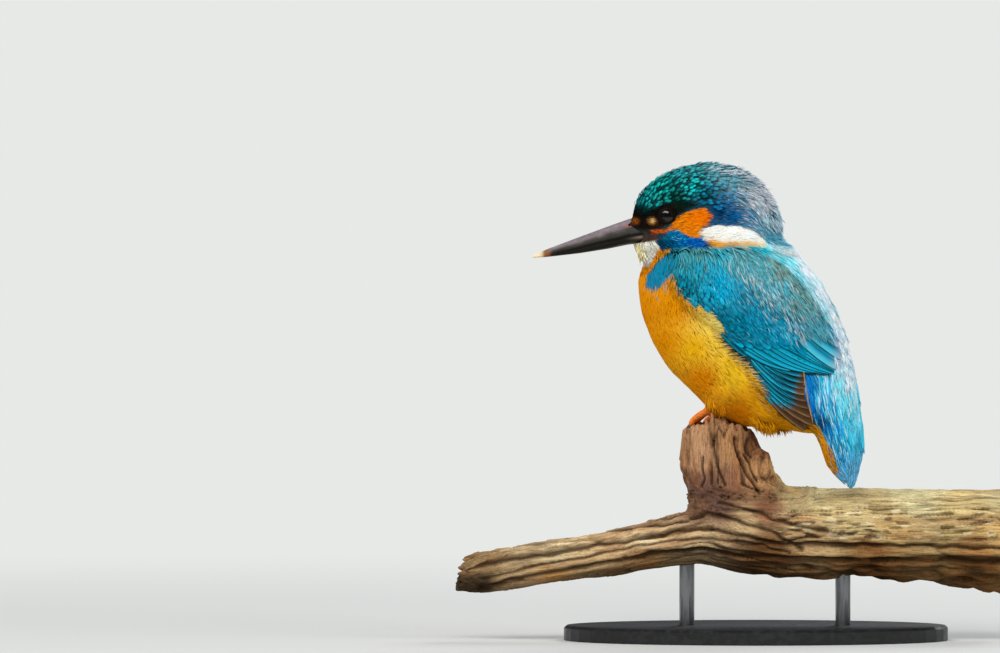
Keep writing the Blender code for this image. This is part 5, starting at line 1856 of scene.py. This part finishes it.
broken_end = ends * (stretched(grain, 40, 1.6, 99) * 2.6 + ripple(places, 2.4 * MM, 100) * .8 - .6)
foot = BVHTree.FromBMesh(joined([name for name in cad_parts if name[:4] in ("leg_", "claw")]))
for index, corner in enumerate(wood.verts):
    place = corner.co.copy()
    free = held((foot.find_nearest(place)[3] / MM - .15) / 1.4)
    corner.co = place + Vector(normals[index]) * float(min(height[index], .9) * free * MM)
    corner.co.z += (float(lift[index]) * free + float(lip[index])) * MM
    corner.co -= ACROSS * float(broken_end[index]) * MM
print("wood: mean carving", round(float(-height.mean()), 2), "mm")
# %% [markdown]
# ## The colour of old wood
# Weathered ridges are pale; the cracks are painted dark brown, partly their own
# colour and partly painted shade; the undersides and the hollow of the broken
# end are painted darker as shade; the stump is redder; and a few flakes have
# gone almost white. The large changes are painted on the corners, and the
# finish adds fibres too fine to carve.

# %% Paint for the wood
painted_shade_below = rising(-normals[:, 2], .15, .6)
# The wash runs from pale along the tops of the arms, partly bleached wood and partly painted light,
# to dark brown along their undersides, which is painted shade.
paint = wash(flat, [(-88, 26, 150, 122, 84), (-70, 31, 176, 150, 112), (-60, 27.6, 222, 196, 150),
                    (-30, 33, 222, 198, 154), (-30, 39, 176, 140, 100), (-12, 42, 132, 98, 74),
                    (-12, 36, 196, 168, 126), (-60, 22, 178, 132, 78), (-30, 28, 184, 136, 82),
                    (-10, 62, 176, 134, 98), (-2, 52, 140, 98, 72), (-10, 50, 116, 84, 70),
                    (-2, 65, 170, 124, 82), (6, 64, 130, 88, 58), (9, 56, 176, 130, 86),
                    (10, 44, 140, 98, 70), (-6, 45, 112, 82, 70), (3, 40, 190, 160, 118),
                    (20, 48, 188, 166, 120), (28, 49, 204, 190, 142), (60, 49, 204, 190, 142),
                    (90, 49, 200, 184, 136), (30, 44, 188, 164, 112), (40, 40, 206, 180, 126),
                    (75, 42, 204, 178, 122), (50, 36, 200, 166, 108), (85, 36, 194, 158, 100),
                    (24, 38, 190, 154, 108), (45, 30, 150, 108, 62), (80, 29, 156, 112, 64),
                    (45, 25, 92, 62, 32), (80, 24, 96, 66, 34), (10, 30, 120, 82, 46)], 4)
paint = paint * np.exp(fibre * .2 + ripple(places, 5 * MM, 94) * .08)[:, None]
pale = rising(stretched(bent, 4, .9, 95), .3, .15) * flaky
paint = tinted(paint, (236, 220, 178), pale * .5)
rust = rising(stretched(bent, 20, 2, 96), .2, .3) * (1 - top)
paint = tinted(paint, (150, 92, 48), rust * .35)
# The cracks, grooves and chips are painted dark brown: partly the wood's own colour, partly painted
# shade in them.
dark = np.clip(deep + fine * .7 + carved * 1.15 + chips * .7, 0, 1)
paint = tinted(paint, (54, 34, 18), dark * .9)
# Painted shade: faces that point down are painted darker.
paint = tinted(paint, paint * .3 + colour(60, 36, 12) * .2, painted_shade_below * .8)
torn = rising(stretched(bent, 7, 1.6, 103), .1, .3) * ragged
paint = tinted(paint, (140, 92, 48), torn * .35)
edge = np.interp(high, [49, 51.4, 56, 60], [21, 17.4, 13.6, 12.2])
slope = rising(-np.abs(right - edge), -1.6, .9) * rising(high, 48, 2) * rising(-high, -61, 1.5)
paint = tinted(paint, (214, 186, 116), slope * .7)
sawn = rising(normals @ RIGHT, .6, .2) * rising(right, 86, 2)
rings = np.hypot(places @ NEAR / MM + 2, high - 36)
rings = np.sin((rings + ripple(places, 6 * MM, 101) * 1.2) * 3.2) * .5 + .5
paint = tinted(paint, grade([(196, 158, 108), (150, 110, 68)], [0, 1], rings), sawn * .8)
# Painted shade on the lower part of the broken left end, where it is hollow.
painted_hollow_shade = rising(-right, 78, 5) * rising(-high, -24, 3)
paint = tinted(paint, (40, 26, 16), painted_hollow_shade * .8)

# %% Fibres too fine to carve
fibres, given, result = new_group(
    "wood_grain", [("Colour", "Color", (1, 1, 1, 1)), ("Grain", "Vector", None),
                   ("Fineness", "Float", 2.4), ("Strength", "Float", .4)],
    [("Colour", "Color", None), ("Height", "Float", None)])
maths = partial(math_node, fibres)
drawn = node(fibres, "ShaderNodeMapping", {"Vector": given["Grain"], "Scale": (.09, 1, 1)})
thread = noise(fibres, drawn.outputs[0], given["Fineness"], 5, .62)
speck = noise(fibres, given["Grain"], 1.6, 3)
value = maths("ADD", maths("MULTIPLY", thread, .75), maths("MULTIPLY", speck, .25))
shade = ranged(fibres, value, .3, .62)
low = maths("SUBTRACT", 1, given["Strength"])
level = maths("ADD", low, maths("MULTIPLY", shade, maths("MULTIPLY", given["Strength"], 1.5)))
wire(fibres, result, {"Colour": greyed(fibres, given["Colour"], level), "Height": value})
print("wood grain:", len(fibres.nodes), "nodes")

# %% The wood's finish and piece
WOOD_FINISH, tree, shader = new_finish("weathered_wood")
worked = node(tree, "ShaderNodeGroup",
              {"Colour": painted_on(tree), "Grain": painted_on(tree, "grain", "Vector"),
               "Fineness": 2.6, "Strength": .5}, node_tree=fibres).outputs
wire(tree, shader, {"Base Color": worked["Colour"], "Roughness": .85, "Specular IOR Level": .1,
                    "Normal": dented(tree, worked["Height"], .8, .0006)})
perch = own_piece(wood, np.clip(paint, 0, 1), "perch", WOOD_FINISH, [WOOD_NODE])
layer = perch.data.attributes.new("grain", "FLOAT_VECTOR", "POINT")
layer.data.foreach_set("vector", bent.astype(np.float32).ravel())
# %% [markdown]
# ## The stand
# A plain oval base and two short steel rods hold the branch. They keep
# their solids, whose shape is right, and get better finishes.

# %% Finishes of the stand
def stand_finish(name, paint, other, rough, metal, scale, stretch):
    """A painted or brushed finish on an object's own coordinates."""
    made, tree, shader = new_finish(name)
    drawn = node(tree, "ShaderNodeMapping", {"Vector": object_places(tree), "Scale": stretch})
    broken = node(tree, "ShaderNodeGroup",
                  {"Scale": scale, "Colour": (*colour(*paint), 1), "Other": (*colour(*other), 1),
                   "Place": drawn.outputs[0]}, node_tree=patches).outputs
    wire(tree, shader, {"Base Color": broken["Colour"], "Metallic": metal,
                        "Roughness": ranged(tree, broken["Mask"], 0, 1, rough, rough + .12),
                        "Normal": dented(tree, broken["Mask"], .15, .0001)})
    return made


LACQUER = stand_finish("black_lacquer", (24, 24, 25), (34, 34, 35), .32, 0, 500, (1, 1, 1))
STEEL = stand_finish("steel", (168, 170, 172), (140, 142, 146), .28, 1, 900, (1, 1, .1))
for solid, finish in ("base", LACQUER), ("rod_front", STEEL), ("rod_back", STEEL):
    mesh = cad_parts["stand_" + solid].data
    mesh.materials.clear()
    mesh.materials.append(finish)
    print("stand", solid, "is in", finish.name)
# %% [markdown]
# ## The two boxes
# The box of the solids and the box of the finished model are both printed,
# in millimetres.

# %% The size
final_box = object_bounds()
for name, (low, high) in (("cad", CAD_BOX), ("visual", final_box)):
    print(name, "box in mm:", [round(x / MM, 1) for x in low], [round(x / MM, 1) for x in high])
